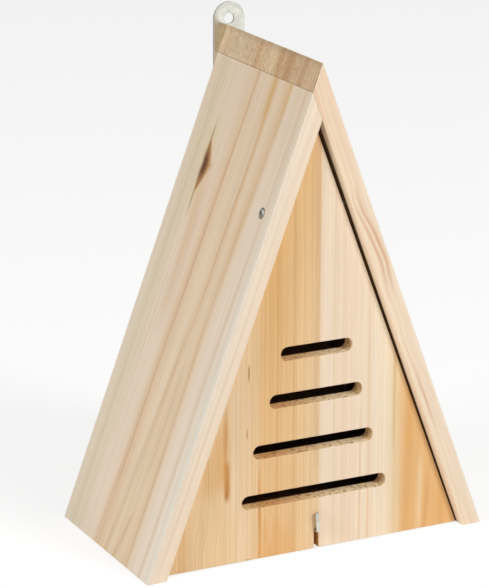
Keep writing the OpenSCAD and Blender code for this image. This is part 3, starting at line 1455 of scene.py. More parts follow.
    def right_wood(self) -> Softwood:
        """The right board's broad faces: cream, with tan streaks.

        Returns:
            The finish.
        """
        return Softwood(
            name="planed_pine_right_board",
            lie=self.lines.lie(1),
            tones=(
                (-57.5, "EBD6BD"), (-40.0, "EAD6BA"), (-15.0, "E6CFAD"), (10.0, "E9D5B8"),
                (30.0, "E4CDAA"), (57.5, "E8D5B8"),
            ),
            late="CB9E6C",
            streaks=(
                Streak(-30.0, 2.4, 0.35, top=-22.0),
                Streak(-12.0, 2.6, 0.4, top=-9.0),
                Streak(6.0, 1.8, 0.3, top=2.0),
                Streak(28.0, 2.4, 0.35, top=33.0),
            ),
            ring=2.2,
            contrast=0.14,
            wander=2.0,
            seed=11.0,
        )

    def ridge_band(self) -> EndGrain:
        """The right board's top end, which shows as a darker band along the ridge.

        Returns:
            The finish.
        """
        stains = (
            Streak(12.0, 2.5, 0.5, "B98C60"),
            Streak(-14.0, 2.5, 0.5, "B08356"),
            Streak(-24.0, 4.0, 0.45, "A97C52"),
            Streak(-41.0, 3.0, 0.45, "AF835A"),
            Streak(50.0, 2.0, 0.3, "B58E64"),
            Streak(-57.2, 0.5, 0.9, "7C5A3A"),
            Streak(0.0, 90.0, 0.35, "8F8068", start=295.0, fade=3.0),
        )
        return EndGrain(
            name="sawn_ridge_band",
            lie=self.lines.lie(-1),
            tones=(
                (-57.5, "CCAD8B"), (-48.0, "D0B290"), (-36.0, "CFB18F"), (-25.0, "C8A682"),
                (-12.0, "CFAF8B"), (-5.0, "DAC19E"), (8.0, "D3B48F"), (18.0, "D4B897"),
                (35.0, "D6C0A0"), (57.5, "D4B997"),
            ),
            dark="A67F55",
            smear=3.0,
            pitted=0.5,
            clouded=0.5,
            streaks=stains,
            seed=2.0,
        )

    def seam_shade(self) -> EndGrain:
        """The bottom of the fine groove where the boards meet, painted dark as the shadow in the joint."""
        tones = ((-57.5, "7A5638"), (57.5, "6E4C30"))
        return EndGrain(name="painted_shadow_seam", lie=self.lines.lie(-1), tones=tones, dark="4A3320")


def rough_sawn_painted_shade(name: str, lie: Lie, seed: float) -> Softwood:
    """The faces inside the house, left rough from the saw and painted darker than the wood, as the shade
    inside the house.

    Args:
        name: The material's name.
        lie: How the board's grain lies.
        seed: Sets one board's pattern apart from another's.

    Returns:
        The finish.
    """
    return Softwood(
        name=name,
        lie=lie,
        tones=((-100.0, "8B6F4A"), (0.0, "846743"), (100.0, "8B6F4A")),
        late="6A4E2E",
        ring=2.4,
        contrast=0.25,
        seed=seed,
        rough=0.82,
        relief=0.25,
    )


@dataclass
class Panels:
    """The back panel, which is glued up from three staves, and the floor panel.

    Attributes:
        lines: The house's lines.
        brads: Where the brads go.
        arris: Width of the panels' broken edges.
        hook_bore: Radius of the hook's hole in the floor panel.
        hook_thread: Depth of that hole.
    """

    lines: Lines
    brads: BradPlan
    arris: float = ARRIS
    hook_bore: float = 1.26 * MM
    hook_thread: float = 17.0 * MM

    def build(self, hanger_holes: Callable[[], list[Workpiece]]) -> None:
        """Saws, softens, bores and dresses both panels.

        Args:
            hanger_holes: Makes the cutters for the hanger's screw holes.
        """
        line = self.lines
        back = Workpiece.block(
            "back_panel_wood",
            Vector((-line.inner_half, line.panel_front, 0.0)),
            Vector((line.inner_half, line.rear, line.inner_top)),
        )
        floor_low, floor_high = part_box("floor_panel")
        floor = Workpiece.block("floor_panel_wood", floor_low, floor_high)
        for side in (-1, 1):
            for panel in (back, floor):
                panel.trim(line.inner_ridge, line.outward(side))
        for panel in (back, floor):
            panel.soften(self.arris)
            for start, into in self.brads.side_starts() + self.brads.rear_starts():
                panel.cut(self.brads.hole(start, into, self.brads.panel_length))
        back.cut(*hanger_holes())
        latch = latch_line()
        mouth = Vector((latch.x, floor_low.y - self.hook_bore, latch.z))
        end = Vector((latch.x, floor_low.y + self.hook_thread, latch.z))
        floor.cut(Workpiece.rod("hook_hole", mouth, end, self.hook_bore))
        upright = Lie(Vector(), RIGHT, UP)
        level = Lie(Vector(), REAR, RIGHT)
        back.dress(self.back_wood(upright))
        back.dress(rough_sawn_painted_shade("rough_sawn_back_panel", upright, 52.0), lambda _, n: n.y < -0.98)
        back.dress(self.end_grain("sawn_end_back_panel", upright), lambda _, n: n.z < -0.9)
        floor.dress(self.floor_wood(level))
        floor.dress(rough_sawn_painted_shade("rough_sawn_floor_panel", level, 61.0), lambda _, n: n.z > 0.98)
        floor.dress(self.end_grain("sawn_end_floor_panel", level), lambda _, n: abs(n.x) > 0.8)
        back.smooth().fit("house", "panel_wood", "back_panel")
        floor.smooth().fit("house", "panel_wood", "floor_panel")

    def back_wood(self, lie: Lie) -> Softwood:
        """Three staves, each with its own tone, side by side.

        Args:
            lie: How the panel's grain lies.

        Returns:
            The finish.
        """
        return Softwood(
            name="planed_pine_back_panel",
            lie=lie,
            tones=(
                (-94.0, "E9D0A6"), (-60.0, "E6C896"), (-31.5, "E3C08B"), (-31.0, "ECDABB"),
                (-10.0, "EEDCBE"), (21.5, "EBD6B4"), (22.0, "E2BE8A"), (50.0, "E7C998"),
                (94.0, "E9D2AB"),
            ),
            late="CB9A5F",
            streaks=(
                Streak(-70.0, 2.5, 0.4, top=-66.0),
                Streak(-46.0, 3.0, 0.35, top=-44.0),
                Streak(36.0, 2.5, 0.4, top=39.0),
                Streak(63.0, 3.5, 0.35, top=60.0),
            ),
            ring=1.9,
            contrast=0.2,
            tilt=0.0,
            wander=1.2,
            seed=21.0,
        )

    def floor_wood(self, lie: Lie) -> Softwood:
        """The floor panel, whose grain runs from side to side.

        Args:
            lie: How the panel's grain lies.

        Returns:
            The finish.
        """
        return Softwood(
            name="planed_pine_floor_panel",
            lie=lie,
            tones=((-41.0, "E6CB9C"), (-10.0, "E9D3AA"), (20.0, "E4C690"), (47.0, "E8D0A4")),
            late="CB9A5F",
            seed=33.0,
        )

    def end_grain(self, name: str, lie: Lie) -> EndGrain:
        """A panel's sawn ends."""
        return EndGrain(name=name, lie=lie, tones=((-100.0, "D3B385"), (100.0, "D3B385")), seed=8.0)


# The slots' walls, painted lighter than the wood to offset the shade in the slots, darker from -30 to -20
# mm and lightest on the right, as the light falls across them.
SLOT_WALLS_PAINTED_LIGHT = (
    (-44.0, "FFE8AE"),
    (-37.0, "FCD89C"),
    (-30.0, "EFB975"),
    (-20.0, "F3BF86"),
    (-10.0, "F3CC98"),
    (0.0, "FADBAB"),
    (12.0, "FFEAC4"),
    (45.0, "FFEBC4"),
)


@dataclass
class Door:
    """The slotted door: two staves glued edge to edge and planed flush.

    Attributes:
        lines: The house's lines.
        arris: Width of the broken edges.
        slot_radius: Radius of the slots' round ends.
        slots: Height of each slot's middle, its length and its sideways shift.
        notch_radius: Half the width of the notch for the hook.
        screw_radius: Radius of the screws in the door's edges.
        low: The door's lowest corner.
        high: Its highest corner.
        tip: Its apex.
        glue_x: Sideways place of the line where the staves meet.
    """

    lines: Lines
    arris: float = ARRIS
    slot_radius: float = 4.0 * MM
    slots: tuple[tuple[float, float, float], ...] = (
        (35.0 * MM, 90.7 * MM, 0.1 * MM),
        (63.5 * MM, 75.2 * MM, -0.7 * MM),
        (91.5 * MM, 57.8 * MM, 0.7 * MM),
        (118.2 * MM, 44.5 * MM, 0.8 * MM),
    )
    notch_radius: float = 1.5 * MM
    screw_radius: float = 1.6 * MM
    low: Vector = field(default_factory=lambda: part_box("door_left_stave")[0])
    high: Vector = field(default_factory=lambda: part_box("door_right_stave")[1])
    tip: Vector = field(default_factory=lambda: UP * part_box("door_left_stave")[1].z)
    glue_x: float = field(default_factory=lambda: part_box("door_right_stave")[0].x)

    def _cutters(self) -> list[Workpiece]:
        """Cutters for the slots and for the notch.

        Returns:
            The cutters.
        """
        middle_y = (self.low.y + self.high.y) / 2
        depth = (self.high.y - self.low.y) * 2
        made = []
        for height, length, shift in self.slots:
            reach = RIGHT * (length / 2 - self.slot_radius)
            middle = Vector((shift, middle_y, height))
            made.append(Workpiece.lozenge("slot", middle, reach, self.slot_radius, depth))
        latch = latch_line()
        half = latch.z / 2
        middle = Vector((latch.x, middle_y, latch.z - half))
        made.append(Workpiece.lozenge("notch", middle, UP * half, self.notch_radius, depth))
        return made

    def _screw_bores(self) -> list[Workpiece]:
        """Cutters for the bores that the pivot screws hold in.

        Returns:
            The cutters.
        """
        pivot = pivot_line()
        made = []
        for node, side in (("left_pivot_screw", -1), ("right_pivot_screw", 1)):
            low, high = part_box(node)
            inner_end = max(low.x, -high.x)
            start = Vector((side * inner_end, pivot.y, pivot.z))
            end = Vector((side * self.lines.half_width, pivot.y, pivot.z))
            made.append(Workpiece.rod("screw_bore", start, end, self.screw_radius))
        return made

    def build(self) -> None:
        """Saws, routs, softens, parts and dresses the door."""
        corner = Vector((self.high.x, self.high.y, self.tip.z))
        left = Workpiece.block("door_stave_left", self.low, corner)
        for side in (-1, 1):
            square = Vector((side * (self.tip.z - self.low.z), 0.0, self.high.x))
            left.trim(self.tip, square.normalized())
        left.cut(*self._cutters())
        left.soften(self.arris)
        left.cut(*self._screw_bores())
        right = left.copied("door_stave_right")
        glue = RIGHT * self.glue_x
        left.trim(glue, RIGHT)
        right.trim(glue, -RIGHT)
        lie = Lie(REAR * self.low.y, RIGHT, UP)
        rough = rough_sawn_painted_shade("rough_sawn_door", lie, 71.0)
        deep = Lie(REAR * self.low.y, REAR, UP)
        # The notch's walls, painted darker with depth into the door as the shade inside the notch.
        notch_shade_tones = ((0.0, "E8B87C"), (2.0, "DBA258"), (5.0, "CE9246"), (9.0, "B8803C"))
        notch_shade = EndGrain(name="notch_painted_shade", lie=deep, tones=notch_shade_tones, dark="9A6A30", seed=9.0)
        ends = self.routed("routed_slot_ends", lie, ((-45.0, "EBC794"), (45.0, "EBCD9E")))
        for stave, wood, routed in (
            (left, self.heartwood(lie), self.routed("routed_heartwood_painted_light", lie, SLOT_WALLS_PAINTED_LIGHT)),
            (right, self.sapwood(lie), self.routed("routed_sapwood_painted_light", lie, SLOT_WALLS_PAINTED_LIGHT)),
        ):
            stave.dress(wood)
            stave.dress(rough, lambda _, n: n.y > 0.98)
            stave.dress(routed, self.is_routed)
            stave.dress(ends, lambda c, n: n.x < -0.35 and self.is_routed(c, n))
            stave.dress(notch_shade, self.is_in_notch)
        left.smooth().fit("door", "door_heartwood", "door_left_stave")
        right.smooth().fit("door", "door_sapwood", "door_right_stave")

    def is_routed(self, centre: Vector, normal: Vector) -> bool:
        """Whether a face of the door is cut across its grain.

        Args:
            centre: The face's middle.
            normal: Its normal.

        Returns:
            True where it is.
        """
        in_slot = any(
            abs(centre.z - height) < self.slot_radius + TINY
            and abs(centre.x - shift) < length / 2 + TINY
            for height, length, shift in self.slots
        )
        return abs(normal.y) < 0.3 and (in_slot or normal.z < -0.9)

    def is_in_notch(self, centre: Vector, normal: Vector) -> bool:
        """Whether a face is on the walls of the notch, which are painted darker with depth as the shade
        inside it.

        Args:
            centre: The face's middle.
            normal: Its normal.

        Returns:
            True where it is.
        """
        latch = latch_line()
        aside = Vector((centre.x - latch.x, max(centre.z - latch.z, 0.0))).length
        return abs(normal.y) < 0.3 and normal.z > -0.9 and aside < self.notch_radius + TINY

    def heartwood(self, lie: Lie) -> Softwood:
        """The left stave: yellow-orange, with fine upright grain.

        Args:
            lie: How the stave's grain lies.

        Returns:
            The finish.
        """
        return Softwood(
            name="planed_heartwood_left_stave",
            lie=lie,
            tones=(
                (-93.0, "E6C294"), (-80.0, "E8C498"), (-70.0, "EACBA0"), (-59.0, "EACB9F"),
                (-47.0, "EBCFA9"), (-39.0, "EACBA3"), (-32.0, "E6BE89"), (-20.0, "E7BF8C"),
                (-8.0, "E8C798"), (2.5, "E7CAA5"),
            ),
            top="E2B478",
            top_share=0.75,
            length=230.0,
            late="CB9656",
            streaks=(
                Streak(-55.5, 2.0, 1.3, "B87C42", start=36.0, stop=64.0, fade=7.0),
                Streak(-57.5, 1.3, 1.1, "C68F50", top=-51.0, start=46.0, stop=104.0, fade=30.0),
                Streak(-59.0, 5.0, 0.7, "E0A55C", start=38.0, stop=90.0, fade=18.0),
                Streak(-72.0, 5.0, 0.5, "D9A35A", top=-58.0, start=34.0, stop=78.0, fade=18.0),
                Streak(-45.0, 1.6, 1.1, "9A6C3C", stop=1.6, fade=1.4),
                Streak(-41.6, 1.0, 1.1, "8A5C30", stop=2.4, fade=1.4),
                Streak(-82.0, 3.0, 0.5, "DAA668", top=-76.0, stop=40.0),
                Streak(-41.2, 0.5, 1.0, "AC763E", start=104.0, stop=117.0, fade=5.0),
                Streak(-42.0, 0.45, 0.8, "B8834A", start=71.0, stop=80.0, fade=4.0),
                Streak(-34.5, 0.8, 1.0, "CF9350", top=-35.0, stop=64.0, fade=30.0),
                Streak(-31.0, 3.4, 0.45, "E2A662", stop=30.0, fade=16.0),
                Streak(-25.0, 4.0, 0.5, "DDA45F", stop=30.0, fade=18.0),
                Streak(-17.0, 4.0, 0.5, "DDA665", stop=26.0, fade=18.0),
                Streak(-46.0, 2.4, 0.3, "F1DDC2", top=-44.0, stop=34.0, fade=16.0),
                Streak(-50.0, 1.2, 0.7, "F0DCBB", top=-48.0, start=20.0, stop=120.0, fade=30.0),
                Streak(-28.0, 1.0, 0.3, "EDD6B6", start=4.0, stop=30.0, fade=10.0),
                Streak(-30.0, 6.0, 0.3, "DBA85E", top=-24.0, start=60.0, fade=60.0),
                Streak(-24.0, 1.0, 0.35, top=-23.0),
                Streak(-13.5, 1.0, 0.4, top=-13.0),
                Streak(0.8, 1.8, 0.5, "D4B08C", start=40.0, fade=30.0),
            ),
            swirls=(Swirl(across=-66.0, along=46.0, width=13.0, length=40.0, push=-4.0),),
            ring=1.1,
            contrast=0.3,
            bands=0.1,
            threads=0.24,
            tilt=0.2,
            wander=0.8,
            seed=1.0,
        )

    def sapwood(self, lie: Lie) -> Softwood:
        """The right stave: cream sapwood that turns orange towards its lower right.

        Args:
            lie: How the stave's grain lies.

        Returns:
            The finish.
        """
        return Softwood(
            name="planed_sapwood_right_stave",
            lie=lie,
            tones=(
                (2.5, "E9D2B5"), (6.0, "EEDBC2"), (12.0, "ECD8BE"), (20.0, "EDD7BF"),
                (30.0, "EEDBC2"), (45.0, "F0DFC4"), (50.0, "E8D1AC"), (55.0, "E7C190"),
                (62.0, "E2B57B"), (93.0, "E4B57B"),
            ),
            late="D6A76F",
            streaks=(
                Streak(58.0, 2.6, 0.6, "D99E58", top=66.0),
                Streak(67.0, 1.8, 0.5, "F0D6AC", top=72.0, stop=56.0, fade=24.0),
                Streak(71.0, 1.6, 0.6, "DBA262", top=92.0, stop=50.0),
                Streak(82.0, 2.0, 0.5, "D9A05C", stop=40.0),
                Streak(50.5, 1.0, 0.6, "D8B98A", start=40.0, stop=130.0),
                Streak(34.0, 0.8, 0.35),
                Streak(28.5, 0.6, 0.3, stop=90.0),
                Streak(18.0, 1.0, 0.15),
                Streak(12.0, 0.8, 0.15),
            ),
            ring=1.6,
            contrast=0.17,
            bands=0.09,
            threads=0.2,
            tilt=0.2,
            wander=0.8,
            seed=15.0,
        )

    @staticmethod
    def routed(name: str, lie: Lie, tones: tuple[Stop, ...]) -> EndGrain:
        """The walls of the slots and the door's lower edge, in the given tones.

        Args:
            name: The material's name.
            lie: How the walls lie.
            tones: Their colours, from the left to the right.

        Returns:
            The finish.
        """
        return EndGrain(
            name=name,
            lie=lie,
            tones=tones,
            dark="AC8250",
            ring=1.6,
            smear=1.6,
            grit=0.42,
            pitted=0.8,
            clouded=0.35,
            seed=4.0,
        )


@dataclass
class Screws:
    """Screws with a cross recess, each turned, threaded and recessed.

    Attributes:
        blade: Width of an arm of the recess.
        span: Length across the recess.
        sink: Depth of the recess.
        pitch: Distance between two turns of a thread.
        point: Length of the tapered point.
    """

    blade: float = 0.9 * MM
    span: float = 3.4 * MM
    sink: float = 1.2 * MM
    pitch: float = 1.3 * MM
    point: float = 3.0 * MM

    def recess(self, top: float) -> Workpiece:
        """A cutter for the cross recess: two crossed blades that narrow as they go down.

        Args:
            top: Height of the head's top.

        Returns:
            The cutter.
        """
        arms = []
        proud = 0.5 * MM
        for length, width in ((self.span, self.blade), (self.blade, self.span)):
            low = Vector((-length / 2, -width / 2, top - self.sink))
            arm = Workpiece.block("arm", low, Vector((length / 2, width / 2, top + proud)))
            with arm.editing() as mesh:
                arm.pick(mesh.faces, lambda face: face.normal.z < -0.9)
                bpy.ops.transform.resize(value=(0.62, 0.62, 1.0), center_override=(0.0, 0.0, low.z))
            arms.append(arm)
        return arms[0].weld(arms[1])

    def thread(self, crest: float, root: float, low: float, high: float) -> Workpiece:
        """A helical ridge on the Z axis.

        Args:
            crest: Radius of its crest.
            root: Radius of its foot.
            low: Where it starts.
            high: Where it ends.

        Returns:
            The ridge, as a closed solid.
        """
        Workpiece.clear_bench()
        bpy.ops.mesh.primitive_circle_add(
            vertices=3, radius=0.5, location=(root, 0.0, low), rotation=(QUARTER, 0.0, 0.0)
        )
        ridge = Workpiece.taken("thread")
        with ridge.editing("VERT") as mesh:
            corners = ((crest, 0.0), (root - 0.1 * MM, 0.22), (root - 0.1 * MM, -0.22))
            for vert, (radius, lift) in zip(mesh.verts, corners):
                vert.co = Vector((radius, 0.0, low + lift * self.pitch))
            bmesh.update_edit_mesh(ridge.obj.data)
        turns = int((high - low) / self.pitch)
        ridge.modify(
            "SCREW",
            screw_offset=self.pitch,
            iterations=turns,
            steps=20,
            render_steps=20,
            use_merge_vertices=True,
        )
        with ridge.editing("EDGE"):
            bpy.ops.mesh.select_all(action="SELECT")
            bpy.ops.mesh.fill_holes(sides=3)
        return ridge.right_side_out()

    def shank(
        self, name: str, head: list[tuple[float, float]], radius: float, length: float, plain: float
    ) -> Workpiece:
        """A screw with its head up and its point down, its head's underside at height 0.

        Args:
            name: The piece's name.
            head: Radius and height of each ring of the head.
            radius: The shank's radius.
            length: Length under the head.
            plain: Length of the shank that has no thread.

        Returns:
            The screw.
        """
        root = radius * 0.72
        outline = [
            (radius * 0.12, -length),
            (root * 0.8, -length + self.point * 0.7),
            (root, -length + self.point),
            (root, -plain - radius * 0.3),
            (radius, -plain),
            (radius, -0.25 * MM),
            *head,
        ]
        screw = Workpiece.turned(name, outline, sides=40)
        screw.weld(self.thread(radius, root, -length + self.point, -plain - self.pitch * THREAD_RUN_OUT))
        return screw.cut(self.recess(head[-1][1]))


@dataclass
class PivotScrews:
    """The two pan-head screws that the door swings on.

    Attributes:
        lines: The house's lines.
        screws: How a screw is made.
        steel: Its finish.
        radius: The shank's radius.
        length: Length under the head.
        head_radius: The head's radius.
        head_height: The head's height.
    """

    # lines: The house's lines. Not used.
    lines: Lines
    screws: Screws
    steel: Steel
    radius: float = 1.6 * MM
    length: float = 21.0 * MM
    head_radius: float = 2.75 * MM
    head_height: float = 2.2 * MM

    def build(self) -> None:
        """Makes one screw and places it and its twin."""
        r, h = self.head_radius, self.head_height
        head = [
            (r * 0.97, 0.0),
            (r, 0.12 * MM),
            (r, h * 0.42),
            (r * 0.97, h * 0.58),
            (r * 0.88, h * 0.76),
            (r * 0.72, h * 0.9),
            (r * 0.5, h * 0.98),
            (r * 0.3, h),
        ]
        model = self.screws.shank("pivot_screw", head, self.radius, self.length, plain=11.0 * MM)
        model.dress(self.steel).smooth(35.0)
        pivot = pivot_line()
        for name, node, side in (
            ("pivot_screw_left", "left_pivot_screw", -1),
            ("pivot_screw_right", "right_pivot_screw", 1),
        ):
            low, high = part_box(node)
            tip = max(low.x, -high.x)
            seat = Vector((side * (tip + self.length), pivot.y, pivot.z))
            turn = Matrix.Rotation(side * QUARTER, 4, "Y") @ Matrix.Rotation(QUARTER / 2, 4, "Z")
            place = Matrix.Translation(seat) @ turn
            model.copied(name).placed(place).fit("door", "screw_steel", node)
        bpy.data.objects.remove(model.obj)


@dataclass
class Hanger:
    """The steel plate behind the ridge and its two countersunk screws.

    Attributes:
        lines: The house's lines.
        screws: How a screw is made.
        plate_steel: The plate's finish.
        rim_steel: The finish of its edges, duller and painted darker as the shade on its rounded rim.
        screw_steel: The screws' finish.
        hole_radius: Radius of the hole that the house hangs by.
        hole_rise: Height of that hole above the ridge.
        pitch: Distance between the two screws.
        shank_radius: Radius of a screw's shank.
        head_radius: Radius of a screw's head.
        screw_length: Full length of a screw.
        seat_gap: Space between a head and its seat.
        arris: Width of the plate's rounded edges.
        low: The plate's lowest corner.
        high: Its highest corner.
    """

    lines: Lines
    screws: Screws
    plate_steel: Steel
    rim_steel: Steel
    screw_steel: Steel
    hole_radius: float = 3.15 * MM
    hole_rise: float = 3.1 * MM
    pitch: float = 19.0 * MM
    shank_radius: float = 1.5 * MM
    head_radius: float = 2.8 * MM
    screw_length: float = 11.0 * MM
    seat_gap: float = 0.05 * MM
    arris: float = ARRIS
    low: Vector = field(default_factory=lambda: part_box("hanger_plate")[0])
    high: Vector = field(default_factory=lambda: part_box("hanger_plate")[1])

    @property
    def _radius(self) -> float:
        """Radius of the plate's round ends."""
        return (self.high.x - self.low.x) / 2

    def _at(self, z: float) -> Vector:
        """The point on the plate's rear face, on its middle line, at a height."""
        return Vector(((self.low.x + self.high.x) / 2, self.high.y, z))

    def _screw_points(self) -> list[Vector]:
        """Where the screws go in, lower one first."""
        lowest = self.low.z + self._radius
        return [self._at(lowest), self._at(lowest + self.pitch)]

    def pilot_holes(self) -> list[Workpiece]:
        """Cutters for the screws' holes in the back panel.

        Returns:
            The cutters.
        """
        inward = -REAR * self.screw_length
        return [
            Workpiece.rod("pilot", point, point + inward, self.shank_radius, sides=32)
            for point in self._screw_points()
        ]

    def build(self) -> None:
        """Stamps the plate and drives its screws."""
        thick = self.high.y - self.low.y
        reach = UP * ((self.high.z - self.low.z) / 2 - self._radius)
        middle = self._at((self.low.z + self.high.z) / 2) - REAR * (thick / 2)
        plate = Workpiece.lozenge("hanger_strap", middle, reach, self._radius, thick, sides=96)
        through = REAR * thick
        hang = self._at(self.lines.height + self.hole_rise)
        plate.cut(Workpiece.rod("hang", hang - 2 * through, hang + through, self.hole_radius, sides=64))
        bore = self.shank_radius + self.seat_gap
        for point in self._screw_points():
            plate.cut(Workpiece.rod("bore", point - 2 * through, point + through, bore, sides=40))
        plate.soften(self.arris, segments=3, angle=40.0)
        wide = self.head_radius
        seat = [(bore, -thick), (wide + self.seat_gap, 0.0), (wide + thick, thick)]
        for point in self._screw_points():
            plate.cut(Workpiece.turned("seat", seat, sides=40).placed(self._facing_rear(point)))
        plate.dress(self.plate_steel).smooth(25.0)
        plate.dress(self.rim_steel, lambda _, n: abs(n.y) < 0.97)
        plate.fit("house", "plate_steel", "hanger_plate")
        r = self.head_radius
        head = [(self.shank_radius, 0.0), (r, thick - 0.12 * MM), (r * 0.97, thick), (r * 0.7, thick)]
        length = self.screw_length - thick
        model = self.screws.shank("hanger_screw", head, self.shank_radius, length, plain=2.0 * MM)
        model.dress(self.screw_steel).smooth(35.0)
        pair = []
        for index, point in enumerate(self._screw_points()):
            place = self._facing_rear(point - through)
            pair.append(model.copied(f"hanger_screw_{index}").placed(place))
        bpy.data.objects.remove(model.obj)
        pair[0].group(pair[1])
        pair[0].obj.name = "hanger_screw_pair"
        pair[0].fit("house", "screw_steel", "hanger_screws")

    def _facing_rear(self, point: Vector) -> Matrix:
        """Turns a piece made along Z to face the rear, with its zero at a point."""
        return Matrix.Translation(point) @ Matrix.Rotation(-QUARTER, 4, "X")


@dataclass
class LatchHook:
    """The square screw hook that keeps the door shut.

    Attributes:
        steel: Its finish.
        screws: How its thread is made.
        radius: The wire's radius.
        bend: Radius of the bend at the wire's middle.
        door_gap: Space between the door's face and the start of the bend.
        rise: Length of the arm, from the middle of the shank to the tip.
        lean: How far the arm leans to the left, in degrees.
        thread_length: Length of the thread.
        tip: Width of the arm's rounded tip.
    """

    steel: Steel
    screws: Screws
    radius: float = 1.2 * MM
    bend: float = 1.8 * MM
    door_gap: float = 0.4 * MM
    rise: float = 11.2 * MM
    lean: float = 4.4
    thread_length: float = 14.0 * MM
    tip: float = 0.5 * MM

    def build(self) -> None:
        """Bends the wire, threads its shank and dresses it."""
        door_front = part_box("door_left_stave")[0].y
        low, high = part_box("latch_hook")
        latch = latch_line()
        bend_y = door_front - self.door_gap
        length = high.y - bend_y
        root = self.radius * 0.78
        thread_start = length - self.thread_length
        point = 3.0 * MM
        outline = [
            (self.radius * 0.17, -length),
            (root, -length + point),
            (root, -thread_start - self.radius * 0.3),
            (self.radius, -thread_start),
            (self.radius, 0.0),
        ]
        hook = Workpiece.turned("latch_wire", outline, sides=32)
        with hook.editing() as mesh:
            hook.pick(mesh.faces, lambda face: face.normal.z > 0.99)
            bpy.ops.mesh.delete(type="ONLY_FACE")
        with hook.editing("EDGE") as mesh:
            hook.pick(mesh.edges, lambda edge: edge.is_boundary)
            bpy.ops.mesh.spin(
                steps=12, angle=QUARTER, center=(0.0, self.bend, 0.0), axis=(1.0, 0.0, 0.0)
            )
            straight = self.rise - self.bend
            bpy.ops.mesh.extrude_edges_move(TRANSFORM_OT_translate={"value": (0.0, straight, 0.0)})
            bpy.ops.mesh.edge_face_add()
        hook.right_side_out()
        hook.soften(self.tip, segments=3, angle=70.0)
        thread_low = -length + point
        thread_high = -thread_start - self.screws.pitch * THREAD_RUN_OUT
        hook.weld(self.screws.thread(self.radius, root, thread_low, thread_high))
        seat = Vector((latch.x, bend_y, latch.z))
        turn = Matrix.Rotation(-math.radians(self.lean), 4, "Y") @ Matrix.Rotation(QUARTER, 4, "X")
        hook.placed(Matrix.Translation(seat) @ turn)
        hook.dress(self.steel).smooth(40.0)
        hook.fit("latch", "hook_wire", "latch_hook")


def bearing(azimuth: float, elevation: float) -> Vector:
    """A direction, from its bearing from straight ahead and its height above the horizon."""
    a, e = math.radians(azimuth), math.radians(elevation)
    return Vector((math.sin(a) * math.cos(e), -math.cos(a) * math.cos(e), math.sin(e)))


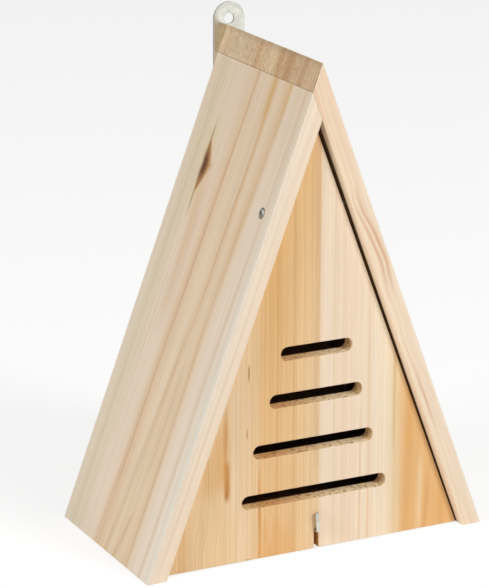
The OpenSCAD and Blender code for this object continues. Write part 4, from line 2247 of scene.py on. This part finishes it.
@dataclass
class Studio:
    """The plain pale floor, the soft lamps, the white surroundings and the camera.

    Attributes:
        eye: The camera's place.
        azimuth: The camera's bearing in degrees, from straight ahead towards the right.
        elevation: Its height above the horizon in degrees.
        roll: Its roll in degrees.
        lens: Focal length in millimetres.
        sky: Strength of the surroundings' light.
        bare: Share of the floor's own white, which makes its shadows fainter.
        glow: Strength of that white, at which the open floor comes out white.
        lamp_reach: Distance of the lamps from the point that they aim at.
        lamp_aim: Height of that point.
    """

    eye: Vector = field(default_factory=lambda: Vector((-0.69886, -1.35681, 0.60213)))
    azimuth: float = -26.656
    elevation: float = 16.988
    roll: float = 0.069
    lens: float = 173.47
    sky: float = 0.2
    bare: float = 0.66
    glow: float = 1.17
    lamp_reach: float = 2.6
    lamp_aim: float = 0.12

    def build(self) -> None:
        """Sets up the whole studio."""
        self._floor()
        self._surroundings()
        self._lamp("window_right", 25.0, 30.0, 0.8, 39.4)
        self._lamp("window_left", -79.0, 20.0, 0.8, 35.6)
        self._camera()
        bpy.context.scene.view_settings.view_transform = "Standard"

    @staticmethod
    def _seen(sheet: Sheet) -> Value:
        """Tells what is seen from what is only lit.

        Args:
            sheet: The sheet that reads it.

        Returns:
            1 for rays from the camera and from mirrors and glass, 0 for the others.
        """
        path = sheet.node("ShaderNodeLightPath")
        names = ("Is Camera Ray", "Is Glossy Ray", "Is Transmission Ray")
        camera, glossy, through = (Value(sheet, path.outputs[name]) for name in names)
        return (camera + glossy + through).clamped()

    def _floor(self) -> None:
        """A white floor that keeps the house's shadow, but faintly."""
        Workpiece.clear_bench()
        bpy.ops.mesh.primitive_plane_add(size=30.0)
        floor = bpy.context.active_object
        floor.name = "studio_floor"
        material = bpy.data.materials.new("white_floor")
        material.use_nodes = True
        sheet = Sheet(material.node_tree)
        matt = sheet.term("ShaderNodeBsdfDiffuse", None, {"Color": paint("FBFBFB")})
        white = sheet.term("ShaderNodeEmission", None, {"Strength": self.glow})
        share = self._seen(sheet) * self.bare
        mixed = sheet.node("ShaderNodeMixShader", None, {0: share, 1: matt, 2: white})
        sheet.node("ShaderNodeOutputMaterial", None, {"Surface": Value(sheet, mixed.outputs[0])})
        floor.data.materials.append(material)

    def _surroundings(self) -> None:
        """An even soft light that looks pure white."""
        world = bpy.data.worlds.new("white_room")
        world.use_nodes = True
        bpy.context.scene.world = world
        sheet = Sheet(world.node_tree)
        soft = sheet.node("ShaderNodeBackground", None, {"Color": paint("FDFCFA"), "Strength": self.sky})
        white = sheet.node("ShaderNodeBackground", None, {"Color": paint("FFFFFF"), "Strength": 1.0})
        inputs = {0: self._seen(sheet), 1: Value(sheet, soft.outputs[0]), 2: Value(sheet, white.outputs[0])}
        mixed = sheet.node("ShaderNodeMixShader", None, inputs)
        sheet.node("ShaderNodeOutputWorld", None, {"Surface": Value(sheet, mixed.outputs[0])})

    def _lamp(self, name: str, azimuth: float, elevation: float, size: float, power: float) -> None:
        """Hangs a square soft lamp that points at the house.

        Args:
            name: The lamp's name.
            azimuth: Its bearing in degrees, from straight ahead towards the right.
            elevation: Its height above the horizon in degrees.
            size: Length of its side.
            power: Its power in watts.
        """
        aim = -self.lamp_reach * bearing(azimuth, elevation)
        place = UP * self.lamp_aim - aim
        turn = aim.to_track_quat("-Z", "Y").to_euler()
        bpy.ops.object.light_add(type="AREA", location=place, rotation=turn)
        lamp = bpy.context.active_object
        lamp.name = name
        lamp.data.size = size
        lamp.data.energy = power

    def _camera(self) -> None:
        """Places the camera where the photographer stood."""
        r = math.radians(self.roll)
        back = bearing(self.azimuth, self.elevation)
        right = UP.cross(back).normalized()
        up = back.cross(right)
        rolled_right = right * math.cos(r) + up * math.sin(r)
        rolled_up = up * math.cos(r) - right * math.sin(r)
        turn = Matrix((rolled_right, rolled_up, back)).transposed().to_4x4()
        data = bpy.data.cameras.new("photographer")
        data.lens = self.lens
        data.sensor_width = SENSOR_WIDTH
        camera = bpy.data.objects.new("photographer", data)
        bpy.context.scene.collection.objects.link(camera)
        camera.matrix_world = Matrix.Translation(self.eye) @ turn
        bpy.context.scene.camera = camera


def build_house() -> None:
    """Builds every sub-assembly of the house in order."""
    lines = Lines.read()
    brads = BradPlan(lines)
    screws = Screws()
    plated = Steel("bright_zinc_plate", Worked.BRUSHED, "DDDDD3", "C6C5BA", rough=0.14)
    wire = Steel("bright_wire", Worked.DRAWN, "D9D9D4", "A9A8A0", rough=0.14, scratched=0.15)
    grey = Steel("grey_zinc_screw", Worked.TUMBLED, "A2A29B", "63635E", rough=0.5, scratched=0.7)
    bare = Steel("bare_brad_wire", Worked.DRAWN, "8C8A86", "5A5550", rough=0.45)
    Roof(lines, brads).build()
    # The plate's edges, duller and painted darker as the shade on its rounded rim.
    rim = Steel("dull_plate_rim_painted_shade", Worked.TUMBLED, "ABABA6", "93938E", rough=0.4)
    hanger = Hanger(lines, screws, plated, rim, grey)
    Panels(lines, brads).build(hanger.pilot_holes)
    Door(lines).build()
    PivotScrews(lines, screws, grey).build()
    hanger.build()
    LatchHook(wire, screws).build()
    for name, starts, length, node in (
        ("brads_ridge", brads.ridge_starts(), brads.ridge_length, "ridge_brads"),
        ("brads_side", brads.side_starts(), brads.panel_length, "side_brads"),
        ("brads_rear", brads.rear_starts(), brads.panel_length, "rear_brads"),
    ):
        brads.drive(name, starts, length).dress(bare).fit("house", "brad_steel", node)


def main() -> None:
    """Builds the house and its studio."""
    logging.basicConfig(level=logging.INFO, format="%(name)s: %(message)s")
    build_house()
    Studio().build()


if __name__ == "__main__":
    main()
